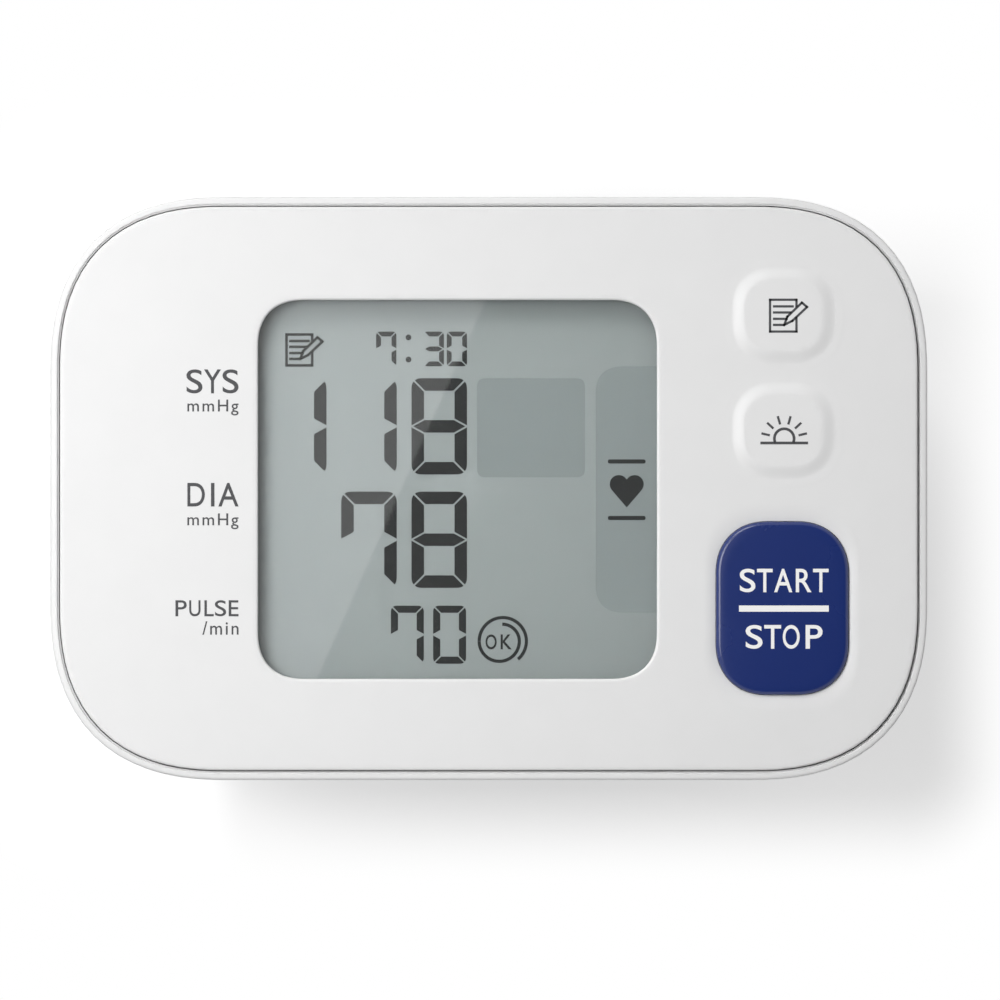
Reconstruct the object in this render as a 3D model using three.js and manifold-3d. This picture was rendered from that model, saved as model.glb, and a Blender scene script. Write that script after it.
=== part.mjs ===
// Wrist blood pressure monitor: a slim display unit that rides on a padded wrist cuff.
// Millimetres, +Z up. The display faces up, its right side is +X and its top is +Y. The wrist runs
// along Y through the cuff, and the cuff stands on its flat bottom run at z = 0.
// Inside the unit group, z is counted from the back of the case.
import * as THREE from "three";
import { mergeVertices } from "three/addons/utils/BufferGeometryUtils.js";
import Module from "manifold-3d";

const wasm = await Module();
wasm.setup();

// Clearances
const FIT = 0.3; // between neighbours that do not touch
const KEY_PLAY = 0.25; // round a key in its aperture
const BORE_PLAY = 0.2; // round a pin, a screw or a nipple in its hole, on the radius
const SLIP = 0.05; // between flat pieces that lie on each other
const OVER = 1; // how far a cutting shape runs past what it cuts

// Case of the display unit
const CASE_W = 91;
const CASE_H = 60.5;
const CORNER_REACH = 17.1; // how far a corner curve runs along each side
const CORNER_FULLNESS = 0.68; // handle length over reach; 0.55 would be a circle
const REACH_LOST_PER_INSET = 1.2; // an outline set in by 1 mm has corners this much shorter
const WALL = 1.6;
const FLOOR = 1.3;
const DRAFT = 0.5; // how far the side walls lean in towards the back
const BACK_ROUND = 4; // radius of the back edge
const RIM_W = 0.74; // rim of the rear case that frames the front cover
const RIM_DROP = 0.3; // the rim's top lies this far below the face
const RIM_ROUND = 0.45;
const SEAM = 0.28; // groove between rim and front cover
const COVER_T = 1.5;
const SKIRT_T = 1.08;
const SKIRT_H = 3;
const COVER_ROUND = 0.5;

// Display
const WINDOW_X = -3.24;
const WINDOW_Y = -0.1;
const WINDOW_W = 41.38;
const WINDOW_H = 39.3;
const WINDOW_REACH = 5;
const WINDOW_LIP_T = 0.9; // thickness of the cover round the window
const LENS_LAP = 1.6; // how far the lens reaches behind the cover
const LENS_T = 1;
const GASKET_T = 0.3;
const LCD_LAP = 0.37; // how far the display reaches past the window
const LCD_T = 1.7;
const FRAME_T = 1.2;
const FRAME_LIP = 1;
const ZEBRA_W = 1.6;
const ZEBRA_H = 0.8;

// Keys, placed from the right edge of the case and from the middle of its height
const KEY_EDGE = 14.94;
const MEMORY_Y = 17.97;
const AVERAGE_Y = 6.02;
const SOFT_KEY_W = 10.58;
const SOFT_KEY_H = 9.92;
const SOFT_KEY_RISE = 0.7;
const SOFT_KEY_SHOULDER = 1.28;
const SOFT_KEY_REACH = 3.2;
const START_SHIFT = -0.11; // the large key's middle, left of the small keys' middle
const START_Y = -12.42;
const START_W = 13.77;
const START_H = 17.99;
const START_REACH = 5.5;
const START_RISE = 0.45;
const START_ROUND = 0.5;
const DISH_SIDE = 1.165; // the dish round the large key reaches this far past its sides
const DISH_END = 1.755; // and this far past its top and bottom
const DISH_DEPTH = 0.5;
const KEY_FLANGE = 0.8;
const KEY_FLANGE_T = 1;
const START_DOME_R = 4;
const SOFT_DOME_R = 3;
const DOME_FOOT_SHARE = 0.25; // of a dome's height, straight before it narrows
const DOME_TOP_SHARE = 0.6; // a dome's top radius over its foot's

// Power: two AAA cells side by side, their axes along Y
const CELL_D = 10;
const CELL_CAN = 43.2;
const CELL_NUB = 0.8;
const CELL_NUB_R = 1.9;
const CELL_GAP = 0.15;
const CELL_REST = 0.2; // between a cell and the floor
const CELL_CORNER = 1.95; // room that the rounded corners take beside the left cell's ends
const SPRING_WIRE = 0.4;
const SPRING_TURNS = 2.5;
const SPRING_TIP_R = 1.2;
const SPRING_INSET = 2; // the spring's widest turn lies this far inside the cell's edge
const SPRING_L = 1.8;
const CONTACT_T = 0.4;
const CONTACT_INSET = 2; // a contact's sides lie this far inside the cell's edges
const CONTACT_END = 1.5; // its top and bottom lie this far inside them
const CONTACT_TRIM = 0.9; // cut off the left contacts, clear of the case's corners
const BAY_WALL = 1;
const END_RIB_T = 0.8;
const DOOR_T = 1.1;
const DOOR_H = 9.6;
const DOOR_HALF = 22.8; // half of the door's length along Y
const DOOR_LAP = 1; // half-lap that holds the door's long edges
const DOOR_LAP_Z = 0.6;
const DOOR_INNER = 3.3; // the door ends this far right of the right cell's axis
const DOOR_SIDE = 3; // the side wall's part of the door reaches this far past the left cell's edge

// Board
const BOARD_T = 1;
const UNDER_BOARD = 7.3; // least room below the board
const BOARD_EDGE = 2.9; // from the case's right side
const BOARD_POST = 4.6; // posts and screws of the board, from the case's right side
const BOARD_POST_Y = 9;
const POST_R = 2;
const BOARD_GAP = 1; // from the board to the pump and to the case's bosses
const BOARD_TAB = 6.5; // left edge of the board's upper tab, from the keys' middle
const CHIP_X = 12;
const PROCESSOR_Y = 4;
const PROCESSOR_SIZE = 9;
const PROCESSOR_T = 1.4;
const MEMORY_CHIP_Y = -6;
const MEMORY_CHIP_SIZE = 5;
const MEMORY_CHIP_T = 1.2;

// Air system
const PUMP_EDGE = 7.95; // from the case's top side to the pump's axis
const PUMP_R = 3.8;
const PUMP_W = 8.2;
const PUMP_HEAD_L = 6.8;
const PUMP_FRAME_L = 7.9;
const PUMP_MOTOR_L = 16;
const PUMP_BORE_R = 3.1;
const DIAPHRAGM_T = 0.6;
const CRANK_R = 2.2;
const CRANK_T = 2;
const CRANK_PIN_R = 0.6;
const CRANK_THROW = 1.2;
const MOTOR_CAP_R = 2.28;
const MOTOR_CAP_L = 1;
const NIPPLE_R = 1.1;
const NIPPLE_L = 2.5;
const SOCKET_DEPTH = 1.5;
const TUBE_R = 1.8;
const MANIFOLD_SHIFT = 5.9; // the manifold's middle, right of the pump's outlet
const MANIFOLD_Y = -2;
const MANIFOLD_LIFT = 0.9; // above the floor
const MANIFOLD_SIZE = 8;
const MANIFOLD_H = 4.4;
const VALVE_X = 10;
const VALVE_Y = -18.5;
const VALVE_L = 12;
const VALVE_W = 7;
const VALVE_H = 6.3;
const VALVE_NIPPLE = 3; // from the valve's left end
const PLUNGER_R = 1.5;
const PLUNGER_L = 6.6;
const PLUNGER_TRAVEL = 0.6;
const SENSOR_SIZE = 6;
const SENSOR_NIPPLE = 1; // how far its nipple reaches into the manifold
const LEAD_R = 0.45;
const MOTOR_LEAD_PITCH = 1.4;
const VALVE_LEAD_PITCH = 1.6;

// Screws
const CASE_SCREW_R = 1;
const CASE_SCREW_HEAD_R = 2;
const CASE_SCREW_HEAD_T = 1.5;
const CASE_SCREW_SEAT = 4.4; // height of the head's seat above the back
const CASE_BOSS_R = 3.2;
const COVER_BOSS_R = 2;
const SCREW_EDGE_X = 6.9; // right-hand screws, from the case's right side
const SCREW_EDGE_Y = 7.4;
const SCREW_BAY_X = 2.5; // screws beside the battery bay, from the bay's wall
const SCREW_BAY_Y = 4.75; // and from the top and bottom sides
const PILOT_STOP = 1; // a case screw's hole ends this far below the cover's plate
const BOARD_SCREW_R = 0.8;
const BOARD_SCREW_HEAD_R = 1.6;
const BOARD_SCREW_HEAD_T = 1;

// Cuff: a rounded loop round the wrist, open at the right, where the tail closes it
const CUFF_W = 70;
const CUFF_H = 51.7;
const CUFF_TOP_R = 15;
const CUFF_BOTTOM_R = 17;
const CUFF_EDGE = 3.45; // the band is this much narrower than the case at each side
const COVER_CLOTH_T = 0.9;
const CURLER_T = 0.6;
const BLADDER_T = 1.7;
const LINING_T = 0.9;
const BINDING_W = 1.2;
const STUB_Z = 31; // the band's right end
const TAIL_ANGLE = 35; // the tail's root, in degrees below the middle of the lower right corner
const TAIL_GAP = 0.7; // crease between the band's end and the tail's root
const TAIL_T = 2.2;
const TAIL_EDGE = 2.2; // the tail is this much narrower than the band at each side
const HOOK_T = 0.8;
const HOOK_EDGE = 3;
const HOOK_REACH = 3; // the hook patch runs this far past the band's end and its upper corner
const BASE_PLATE_W = 46;
const BASE_PLATE_H = 44;
const BASE_PLATE_T = 2;
const CLAW_X = 19;
const CLAW_Y = 14;
const CLAW_T = 2;
const CLAW_L = 6;
const CLAW_LIP = 0.8;
const AIR_PORT_R = 1.8;
const AIR_PORT_BORE_R = 0.9;
const AIR_PORT_FLANGE_R = 3;
const AIR_PORT_FLANGE_T = 0.6;
const AIR_PORT_SINK = 0.7; // the flange's lower face, below the bladder's outer skin

// Fineness of the rounded shapes
const CORNER_STEPS = 6;
const EDGE_STEPS = 3;
const ARC_STEPS = 4;
const SIDES = 16;
const SPRING_STEPS = 8; // in each turn
const SPRING_SIDES = 5;
const TUBE_STEPS = 14;
const TUBE_SIDES = 8;
const LEAD_STEPS = 8;
const LEAD_SIDES = 6;
const TAIL_STEPS = 24;

// Levels in the unit, counted from the back
const CELL_R = CELL_D / 2;
const CELL_AXIS = FLOOR + CELL_REST + CELL_R;
const CELL_EDGE = DOOR_T + CELL_CORNER + CELL_R;
const LEFT_CELL_X = -CASE_W / 2 + CELL_EDGE;
const RIGHT_CELL_X = LEFT_CELL_X + CELL_D + CELL_GAP;
const LCD_LEFT = WINDOW_X - WINDOW_W / 2 - LCD_LAP;
const LCD_OFFSET = Math.min(CELL_R, Math.max(0, LCD_LEFT - RIGHT_CELL_X));
const LCD_OVER_CELL = CELL_AXIS + Math.sqrt(CELL_R ** 2 - LCD_OFFSET ** 2) + FIT;
const LCD_OVER_BOARD = FLOOR + UNDER_BOARD + BOARD_T + ZEBRA_H;
const LCD_BASE = Math.max(LCD_OVER_CELL, LCD_OVER_BOARD);
const BOARD_TOP = LCD_BASE - ZEBRA_H;
const BOARD_UNDER = BOARD_TOP - BOARD_T;
const LENS_BASE = LCD_BASE + LCD_T + FIT;
const LENS_TOP = LENS_BASE + LENS_T;
const FACE = LENS_TOP + GASKET_T + WINDOW_LIP_T;
const COVER_UNDER = FACE - COVER_T;
const SKIRT_BASE = COVER_UNDER - SKIRT_H;
const RIM_TOP = FACE - RIM_DROP;
const REBATE = SKIRT_BASE - FIT;
const BOSS_MEET = SKIRT_BASE - 2 * FIT - SKIRT_H; // lower end of the front cover's bosses
const PUMP_Z = FLOOR + FIT + PUMP_R;
const VALVE_Z = FLOOR + FIT + VALVE_H / 2;
const MANIFOLD_Z = FLOOR + MANIFOLD_LIFT;
const MANIFOLD_TOP = MANIFOLD_Z + MANIFOLD_H;
const NIPPLE_Z = MANIFOLD_Z + MANIFOLD_H / 2;
const KEY_FLANGE_TOP = COVER_UNDER - FIT;
const KEY_BASE = KEY_FLANGE_TOP - KEY_FLANGE_T;
const LEAD_Z = BOARD_UNDER - FIT - LEAD_R; // where a lead meets the board

// Places in the unit
const KEY_X = CASE_W / 2 - KEY_EDGE;
const START_X = KEY_X + START_SHIFT;
const BAY_WALL_X = RIGHT_CELL_X + CELL_R + FIT + BAY_WALL; // right face of the bay's wall
const BOARD_LEFT = BAY_WALL_X + SLIP;
const BOARD_RIGHT = CASE_W / 2 - BOARD_EDGE;
const BAY_SCREW_X = BAY_WALL_X + SCREW_BAY_X;
const BAY_SCREW_Y = CASE_H / 2 - SCREW_BAY_Y;
const SIDE_SCREW_X = CASE_W / 2 - SCREW_EDGE_X;
const SIDE_SCREW_Y = CASE_H / 2 - SCREW_EDGE_Y;
const CASE_SCREWS = [
  [BAY_SCREW_X, BAY_SCREW_Y],
  [BAY_SCREW_X, -BAY_SCREW_Y],
  [SIDE_SCREW_X, SIDE_SCREW_Y],
  [SIDE_SCREW_X, -SIDE_SCREW_Y],
];
const BESIDE_START_KEY = START_X + START_W / 2 + KEY_FLANGE + FIT + POST_R;
const POST_X = Math.max(CASE_W / 2 - BOARD_POST, BESIDE_START_KEY);
const BOARD_SCREWS = [
  [POST_X, BOARD_POST_Y],
  [POST_X, -BOARD_POST_Y],
];
const PUMP_Y = CASE_H / 2 - PUMP_EDGE;
const PUMP_X = BAY_SCREW_X + COVER_BOSS_R + CASE_BOSS_R; // left face of the pump's head
const OUTLET_X = PUMP_X + PUMP_HEAD_L / 2;
const MANIFOLD_X = OUTLET_X + MANIFOLD_SHIFT;
const DIAPHRAGM_X = PUMP_X + PUMP_HEAD_L + BORE_PLAY;
const PUMP_FRAME_X = DIAPHRAGM_X + DIAPHRAGM_T + BORE_PLAY;
const MOTOR_X = PUMP_FRAME_X + PUMP_FRAME_L + FIT;
const BOARD_PUMP_Y = PUMP_Y - PUMP_W / 2 - BOARD_GAP;
const DOOR_X = RIGHT_CELL_X + DOOR_INNER;
const CELL_END = CELL_CAN / 2;
const CONTACT_Y = CELL_END + 2 * BORE_PLAY + SPRING_L; // inner face of the contact plates
const RIB_Y = CONTACT_Y + CONTACT_T + FIT;
const SPRING_BASE_R = CELL_R - SPRING_INSET;
const CONTACT_HALF = CELL_R - CONTACT_INSET;

// Places in the cuff
const BAND_T = COVER_CLOTH_T + CURLER_T + BLADDER_T + LINING_T + 3 * FIT;
const BAND_HALF = CASE_H / 2 - CUFF_EDGE;
const BINDING_Y = BAND_HALF + FIT;
const UNIT_Z = CUFF_H + FIT + BASE_PLATE_T;
const AIR_PORT_Z = CUFF_H - COVER_CLOTH_T - CURLER_T - 2 * FIT; // outer skin of the bladder

const FINISH = {
  shell: { color: 0xf2f2f0, roughness: 0.32, metalness: 0 },
  softKey: { color: 0xf4f4f2, roughness: 0.38, metalness: 0 },
  blueKey: { color: 0x1d2c68, roughness: 0.22, metalness: 0 },
  lens: { color: 0xdfe8e6, roughness: 0.05, metalness: 0 },
  display: { color: 0xa3aca8, roughness: 0.35, metalness: 0 },
  blackPlastic: { color: 0x242527, roughness: 0.5, metalness: 0 },
  greyPlastic: { color: 0x8d9092, roughness: 0.5, metalness: 0 },
  rubber: { color: 0x5a5d60, roughness: 0.85, metalness: 0 },
  silicone: { color: 0xd9d6cc, roughness: 0.6, metalness: 0 },
  board: { color: 0x1f5a38, roughness: 0.55, metalness: 0 },
  chip: { color: 0x1c1d1f, roughness: 0.45, metalness: 0 },
  steel: { color: 0xb9bcc0, roughness: 0.3, metalness: 1 },
  nickel: { color: 0xc9c7bf, roughness: 0.28, metalness: 1 },
  cell: { color: 0x2f3438, roughness: 0.35, metalness: 0.3 },
  redWire: { color: 0xb3261e, roughness: 0.5, metalness: 0 },
  blackWire: { color: 0x18191a, roughness: 0.5, metalness: 0 },
  cloth: { color: 0x45484d, roughness: 0.95, metalness: 0 },
  lining: { color: 0x5d6166, roughness: 0.95, metalness: 0 },
  film: { color: 0xcfd3d2, roughness: 0.4, metalness: 0 },
  hook: { color: 0x2c2e31, roughness: 0.9, metalness: 0 },
};

// Turns a closed three.js geometry into a solid for joining and cutting.
function solid(geometry) {
  const bare = geometry.index ? geometry.toNonIndexed() : geometry.clone();
  bare.deleteAttribute("normal");
  bare.deleteAttribute("uv");
  const merged = mergeVertices(bare, 1e-4);
  const triangles = [];
  for (let i = 0; i < merged.index.count; i += 3) {
    const [a, b, c] = [0, 1, 2].map((k) => merged.index.getX(i + k));
    if (a !== b && b !== c && c !== a) triangles.push(a, b, c);
  }
  const mesh = new wasm.Mesh({
    numProp: 3,
    vertProperties: merged.attributes.position.array,
    triVerts: new Uint32Array(triangles),
  });
  return new wasm.Manifold(mesh);
}

const join = (first, ...rest) => rest.reduce((sum, next) => sum.add(next), first);
const cut = (first, ...rest) => rest.reduce((sum, next) => sum.subtract(next), first);

function meshOf(name, body, finish) {
  const made = body.getMesh();
  const geometry = new THREE.BufferGeometry();
  geometry.setAttribute("position", new THREE.BufferAttribute(made.vertProperties, made.numProp));
  geometry.setIndex(new THREE.BufferAttribute(made.triVerts, 1));
  const mesh = new THREE.Mesh(geometry, new THREE.MeshStandardMaterial(finish));
  mesh.name = name;
  return mesh;
}

function group(name, ...children) {
  const made = new THREE.Group();
  made.name = name;
  made.add(...children);
  return made;
}

// A rectangle with soft corner curves, as points running anticlockwise.
function softRect(width, height, reach) {
  const [right, top] = [width / 2, height / 2];
  const [inX, inY] = [right - reach, top - reach];
  const [handleX, handleY] = [inX + reach * CORNER_FULLNESS, inY + reach * CORNER_FULLNESS];
  const points = [];
  [[1, 1], [-1, 1], [-1, -1], [1, -1]].forEach(([sx, sy], corner) => {
    const turn = [
      new THREE.Vector2(sx * right, sy * inY),
      new THREE.Vector2(sx * right, sy * handleY),
      new THREE.Vector2(sx * handleX, sy * top),
      new THREE.Vector2(sx * inX, sy * top),
    ];
    if (corner % 2 === 1) turn.reverse();
    points.push(...new THREE.CubicBezierCurve(...turn).getPoints(CORNER_STEPS));
  });
  return points;
}

const caseOutline = (inset) =>
  softRect(CASE_W - 2 * inset, CASE_H - 2 * inset, CORNER_REACH - REACH_LOST_PER_INSET * inset);

// A closed skin through rings of points, from the lowest level to the highest.
function loft(levels) {
  const count = levels[0].points.length;
  const places = levels.flatMap(({ z, points }) => points.flatMap((p) => [p.x, p.y, z]));
  const faces = [];
  for (let level = 0; level < levels.length - 1; level += 1) {
    for (let i = 0; i < count; i += 1) {
      const a = level * count + i;
      const b = level * count + ((i + 1) % count);
      faces.push(a, b, b + count, a, b + count, a + count);
    }
  }
  const last = (levels.length - 1) * count;
  THREE.ShapeUtils.triangulateShape(levels[0].points, []).forEach(([a, b, c]) => faces.push(a, c, b));
  THREE.ShapeUtils.triangulateShape(levels[levels.length - 1].points, []).forEach((face) =>
    faces.push(...face.map((i) => i + last)),
  );
  const geometry = new THREE.BufferGeometry();
  geometry.setAttribute("position", new THREE.Float32BufferAttribute(places, 3));
  geometry.setIndex(faces);
  return solid(geometry);
}

function prism(points, low, high) {
  const shape = new THREE.Shape(points);
  const geometry = new THREE.ExtrudeGeometry(shape, { depth: high - low, bevelEnabled: false });
  return solid(geometry.translate(0, 0, low));
}

function box(x0, x1, y0, y1, z0, z1) {
  const geometry = new THREE.BoxGeometry(x1 - x0, y1 - y0, z1 - z0);
  return solid(geometry.translate((x0 + x1) / 2, (y0 + y1) / 2, (z0 + z1) / 2));
}

// A round bar along Z, and the same bar laid along X or Y.
function bar(radius, low, high, x = 0, y = 0) {
  const geometry = new THREE.CylinderGeometry(radius, radius, high - low, SIDES);
  return solid(geometry.rotateX(Math.PI / 2).translate(x, y, (low + high) / 2));
}

function barX(radius, x0, x1, y, z) {
  const geometry = new THREE.CylinderGeometry(radius, radius, x1 - x0, SIDES);
  return solid(geometry.rotateZ(-Math.PI / 2).translate((x0 + x1) / 2, y, z));
}

function barY(radius, y0, y1, x, z) {
  const geometry = new THREE.CylinderGeometry(radius, radius, y1 - y0, SIDES);
  return solid(geometry.translate(x, (y0 + y1) / 2, z));
}

// A profile of [radius, height] pairs from bottom to top, turned about Z.
function turned(profile) {
  const points = profile.map(([radius, height]) => new THREE.Vector2(radius, height));
  return solid(new THREE.LatheGeometry(points, SIDES).rotateX(Math.PI / 2));
}

// A round wire or a hollow tube along a curve.
function sweep(curve, radius, steps, sides, bore = 0) {
  const circle = (r) =>
    Array.from({ length: sides }, (_, i) => {
      const angle = (2 * Math.PI * i) / sides;
      return new THREE.Vector2(r * Math.cos(angle), r * Math.sin(angle));
    });
  const shape = new THREE.Shape(circle(radius));
  if (bore > 0) shape.holes.push(new THREE.Path(circle(bore)));
  return solid(new THREE.ExtrudeGeometry(shape, { steps, extrudePath: curve, bevelEnabled: false }));
}

// Fractions of a quarter turn, from 0 to 1, that round an edge.
const quarter = (steps) => Array.from({ length: steps + 1 }, (_, i) => (Math.PI / 2) * (i / steps));

function caseLevels(wall, floor, top) {
  const round = BACK_ROUND - floor;
  const lean = (z) => (DRAFT * (REBATE - z)) / (REBATE - BACK_ROUND);
  const rounded = quarter(EDGE_STEPS + 1).map((angle) => ({
    z: floor + round * (1 - Math.cos(angle)),
    points: caseOutline(wall + DRAFT + round * (1 - Math.sin(angle))),
  }));
  const straight = [REBATE, top].filter((z) => z > BACK_ROUND);
  return [...rounded, ...straight.map((z) => ({ z, points: caseOutline(wall + Math.max(0, lean(z))) }))];
}

function outerCase() {
  const rim = quarter(EDGE_STEPS).slice(1).map((angle) => ({
    z: RIM_TOP - RIM_ROUND * (1 - Math.sin(angle)),
    points: caseOutline(RIM_ROUND * (1 - Math.cos(angle))),
  }));
  return loft([...caseLevels(0, 0, RIM_TOP - RIM_ROUND), ...rim]);
}

// The room that the door fills: a lapped strip of the back and most of the left side wall.
function doorRoom(gap) {
  const [left, half] = [-CASE_W, DOOR_HALF - gap];
  const lapZ = DOOR_LAP_Z + gap / 2;
  return join(
    box(left, DOOR_X - gap, -half, half, -OVER, BACK_ROUND),
    box(left, DOOR_X - gap, -half - DOOR_LAP, half + DOOR_LAP, lapZ, FLOOR + FIT),
    box(left, LEFT_CELL_X - CELL_R + DOOR_SIDE, -half, half, -OVER, DOOR_H - gap),
  );
}

function rearCase() {
  const outer = outerCase();
  const rebate = prism(caseOutline(RIM_W), REBATE, FACE);
  const shell = cut(outer, loft(caseLevels(WALL, FLOOR, REBATE + FIT)), rebate);
  const root = FLOOR / 2; // what stands on the floor starts inside it
  const bosses = CASE_SCREWS.map(([x, y]) => bar(CASE_BOSS_R, root, BOSS_MEET - FIT, x, y));
  const bayTop = BOARD_UNDER - BORE_PLAY;
  const bayWall = box(BAY_WALL_X - BAY_WALL, BAY_WALL_X, -RIB_Y, RIB_Y, root, bayTop);
  const endRib = (side) => {
    const [low, high] = [RIB_Y, RIB_Y + END_RIB_T].map((y) => side * y).sort((a, b) => a - b);
    return box(LEFT_CELL_X - CELL_R, BAY_WALL_X, low, high, root, DOOR_H);
  };
  const inside = join(...bosses, bayWall, endRib(1), endRib(-1)).intersect(outer);
  const [wellR, holeR] = [CASE_SCREW_HEAD_R + BORE_PLAY, CASE_SCREW_R + BORE_PLAY];
  const wells = CASE_SCREWS.map(([x, y]) => bar(wellR, -OVER, CASE_SCREW_SEAT, x, y));
  const holes = CASE_SCREWS.map(([x, y]) => bar(holeR, -OVER, RIM_TOP, x, y));
  const [slotX, slotY] = [CLAW_T / 2 + BORE_PLAY, CLAW_L / 2 + BORE_PLAY];
  const slots = clawPlaces().map(([x, y]) =>
    box(x - slotX, x + slotX, y - slotY, y + slotY, -OVER, FLOOR + OVER),
  );
  const port = bar(AIR_PORT_R + BORE_PLAY, -OVER, FLOOR + OVER, MANIFOLD_X, MANIFOLD_Y);
  return cut(join(shell, inside), ...wells, ...holes, ...slots, port, doorRoom(0));
}

function batteryDoor() {
  const skin = cut(outerCase(), loft(caseLevels(DOOR_T, DOOR_T, REBATE + FIT)));
  return skin.intersect(doorRoom(FIT));
}

function frontCover() {
  const inset = RIM_W + SEAM;
  const edge = quarter(EDGE_STEPS).map((angle) => ({
    z: FACE - COVER_ROUND * (1 - Math.sin(angle)),
    points: caseOutline(inset + COVER_ROUND * (1 - Math.cos(angle))),
  }));
  const slab = loft([{ z: SKIRT_BASE, points: caseOutline(inset) }, ...edge]);
  const hollow = prism(caseOutline(inset + SKIRT_T), SKIRT_BASE - OVER, COVER_UNDER);
  const root = COVER_UNDER + FIT; // what hangs from the plate starts inside it
  const bosses = CASE_SCREWS.map(([x, y]) => bar(COVER_BOSS_R, BOSS_MEET, root, x, y));
  const posts = BOARD_SCREWS.map(([x, y]) => bar(POST_R, BOARD_TOP + FIT, root, x, y));
  const [caseR, boardR] = [CASE_SCREW_R + BORE_PLAY, BOARD_SCREW_R + BORE_PLAY];
  const pilots = [
    ...CASE_SCREWS.map(([x, y]) => bar(caseR, 0, COVER_UNDER - PILOT_STOP, x, y)),
    ...BOARD_SCREWS.map(([x, y]) => bar(boardR, 0, COVER_UNDER - FIT, x, y)),
  ];
  const keyHole = (x, y, width, height, reach) => {
    const outline = softRect(width + 2 * KEY_PLAY, height + 2 * KEY_PLAY, reach + KEY_PLAY);
    return prism(outline, 0, FACE + OVER).translate([x, y, 0]);
  };
  const [dishW, dishH] = [START_W + 2 * DISH_SIDE, START_H + 2 * DISH_END];
  const brim = softRect(dishW, dishH, START_REACH + DISH_DEPTH);
  const dish = loft([
    { z: FACE - DISH_DEPTH, points: softRect(START_W, START_H, START_REACH) },
    { z: FACE, points: brim },
    { z: FACE + DISH_DEPTH, points: brim },
  ]).translate([START_X, START_Y, 0]);
  return cut(
    join(cut(slab, hollow), ...bosses, ...posts),
    ...pilots,
    windowPlate(0, 0, FACE + OVER),
    windowPlate(LENS_LAP + FIT, LENS_BASE - FIT, FACE - WINDOW_LIP_T),
    keyHole(KEY_X, MEMORY_Y, SOFT_KEY_W, SOFT_KEY_H, SOFT_KEY_REACH),
    keyHole(KEY_X, AVERAGE_Y, SOFT_KEY_W, SOFT_KEY_H, SOFT_KEY_REACH),
    keyHole(START_X, START_Y, START_W, START_H, START_REACH),
    dish,
  );
}

// A plate with the window's outline, grown by a margin.
function windowPlate(margin, low, high) {
  const outline = softRect(WINDOW_W + 2 * margin, WINDOW_H + 2 * margin, WINDOW_REACH + margin);
  return prism(outline, low, high).translate([WINDOW_X, WINDOW_Y, 0]);
}

function displayStack() {
  const lens = windowPlate(LENS_LAP, LENS_BASE, LENS_TOP);
  const gasket = cut(
    windowPlate(LENS_LAP, LENS_TOP, LENS_TOP + GASKET_T),
    windowPlate(FIT, LENS_BASE, FACE),
  );
  const [lcdX, lcdY] = [WINDOW_W / 2 + LCD_LAP, WINDOW_H / 2 + LCD_LAP];
  const lcdBox = (grow, low, high) =>
    box(
      WINDOW_X - lcdX - grow,
      WINDOW_X + lcdX + grow,
      WINDOW_Y - lcdY - grow,
      WINDOW_Y + lcdY + grow,
      low,
      high,
    );
  const lcd = lcdBox(0, LCD_BASE, LCD_BASE + LCD_T);
  const frameLow = BOARD_TOP + BORE_PLAY;
  const frame = cut(
    lcdBox(FIT + FRAME_T, frameLow, LCD_BASE + LCD_T + BORE_PLAY),
    lcdBox(FIT, LCD_BASE - BORE_PLAY, FACE),
    lcdBox(-FRAME_LIP, 0, FACE),
    box(-CASE_W, BAY_WALL_X, -CASE_H, CASE_H, 0, FACE),
  );
  const zebraY = WINDOW_Y - lcdY + FRAME_LIP + FIT;
  const zebra = box(
    Math.max(BAY_WALL_X, WINDOW_X - lcdX + FIT) + FRAME_LIP,
    WINDOW_X + lcdX - 2 * FRAME_LIP,
    zebraY,
    zebraY + ZEBRA_W,
    BOARD_TOP,
    LCD_BASE,
  );
  return group(
    "display",
    meshOf("display_lens", lens, FINISH.lens),
    meshOf("lens_gasket", gasket, FINISH.blackPlastic),
    meshOf("lcd_panel", lcd, FINISH.display),
    meshOf("lcd_frame", frame, FINISH.greyPlastic),
    meshOf("zebra_strip", zebra, FINISH.rubber),
  );
}

// A key about its own middle: a flange held under the cover and a cap with a shaped top.
function key(width, height, reach, top) {
  const flange = softRect(width + 2 * KEY_FLANGE, height + 2 * KEY_FLANGE, reach + KEY_FLANGE);
  const stem = { z: KEY_BASE + KEY_FLANGE_T / 2, points: softRect(width, height, reach) };
  return join(prism(flange, KEY_BASE, KEY_FLANGE_TOP), loft([stem, ...top]));
}

function startKey() {
  const top = quarter(EDGE_STEPS).map((angle) => {
    const inset = START_ROUND * (1 - Math.cos(angle));
    return {
      z: FACE + START_RISE - START_ROUND * (1 - Math.sin(angle)),
      points: softRect(START_W - 2 * inset, START_H - 2 * inset, START_REACH - inset),
    };
  });
  return key(START_W, START_H, START_REACH, top);
}

function softKey() {
  const top = quarter(EDGE_STEPS).map((angle) => {
    const inset = SOFT_KEY_SHOULDER * (1 - Math.cos(angle));
    return {
      z: FACE + SOFT_KEY_RISE * Math.sin(angle),
      points: softRect(SOFT_KEY_W - 2 * inset, SOFT_KEY_H - 2 * inset, SOFT_KEY_REACH - inset),
    };
  });
  return key(SOFT_KEY_W, SOFT_KEY_H, SOFT_KEY_REACH, top);
}

// A rubber dome that stands on the board and pushes its key back up.
function dome(radius) {
  const height = KEY_BASE - BOARD_TOP - FIT;
  return turned([
    [0, 0],
    [radius, 0],
    [radius, height * DOME_FOOT_SHARE],
    [radius * DOME_TOP_SHARE, height],
    [0, height],
  ]);
}

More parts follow.
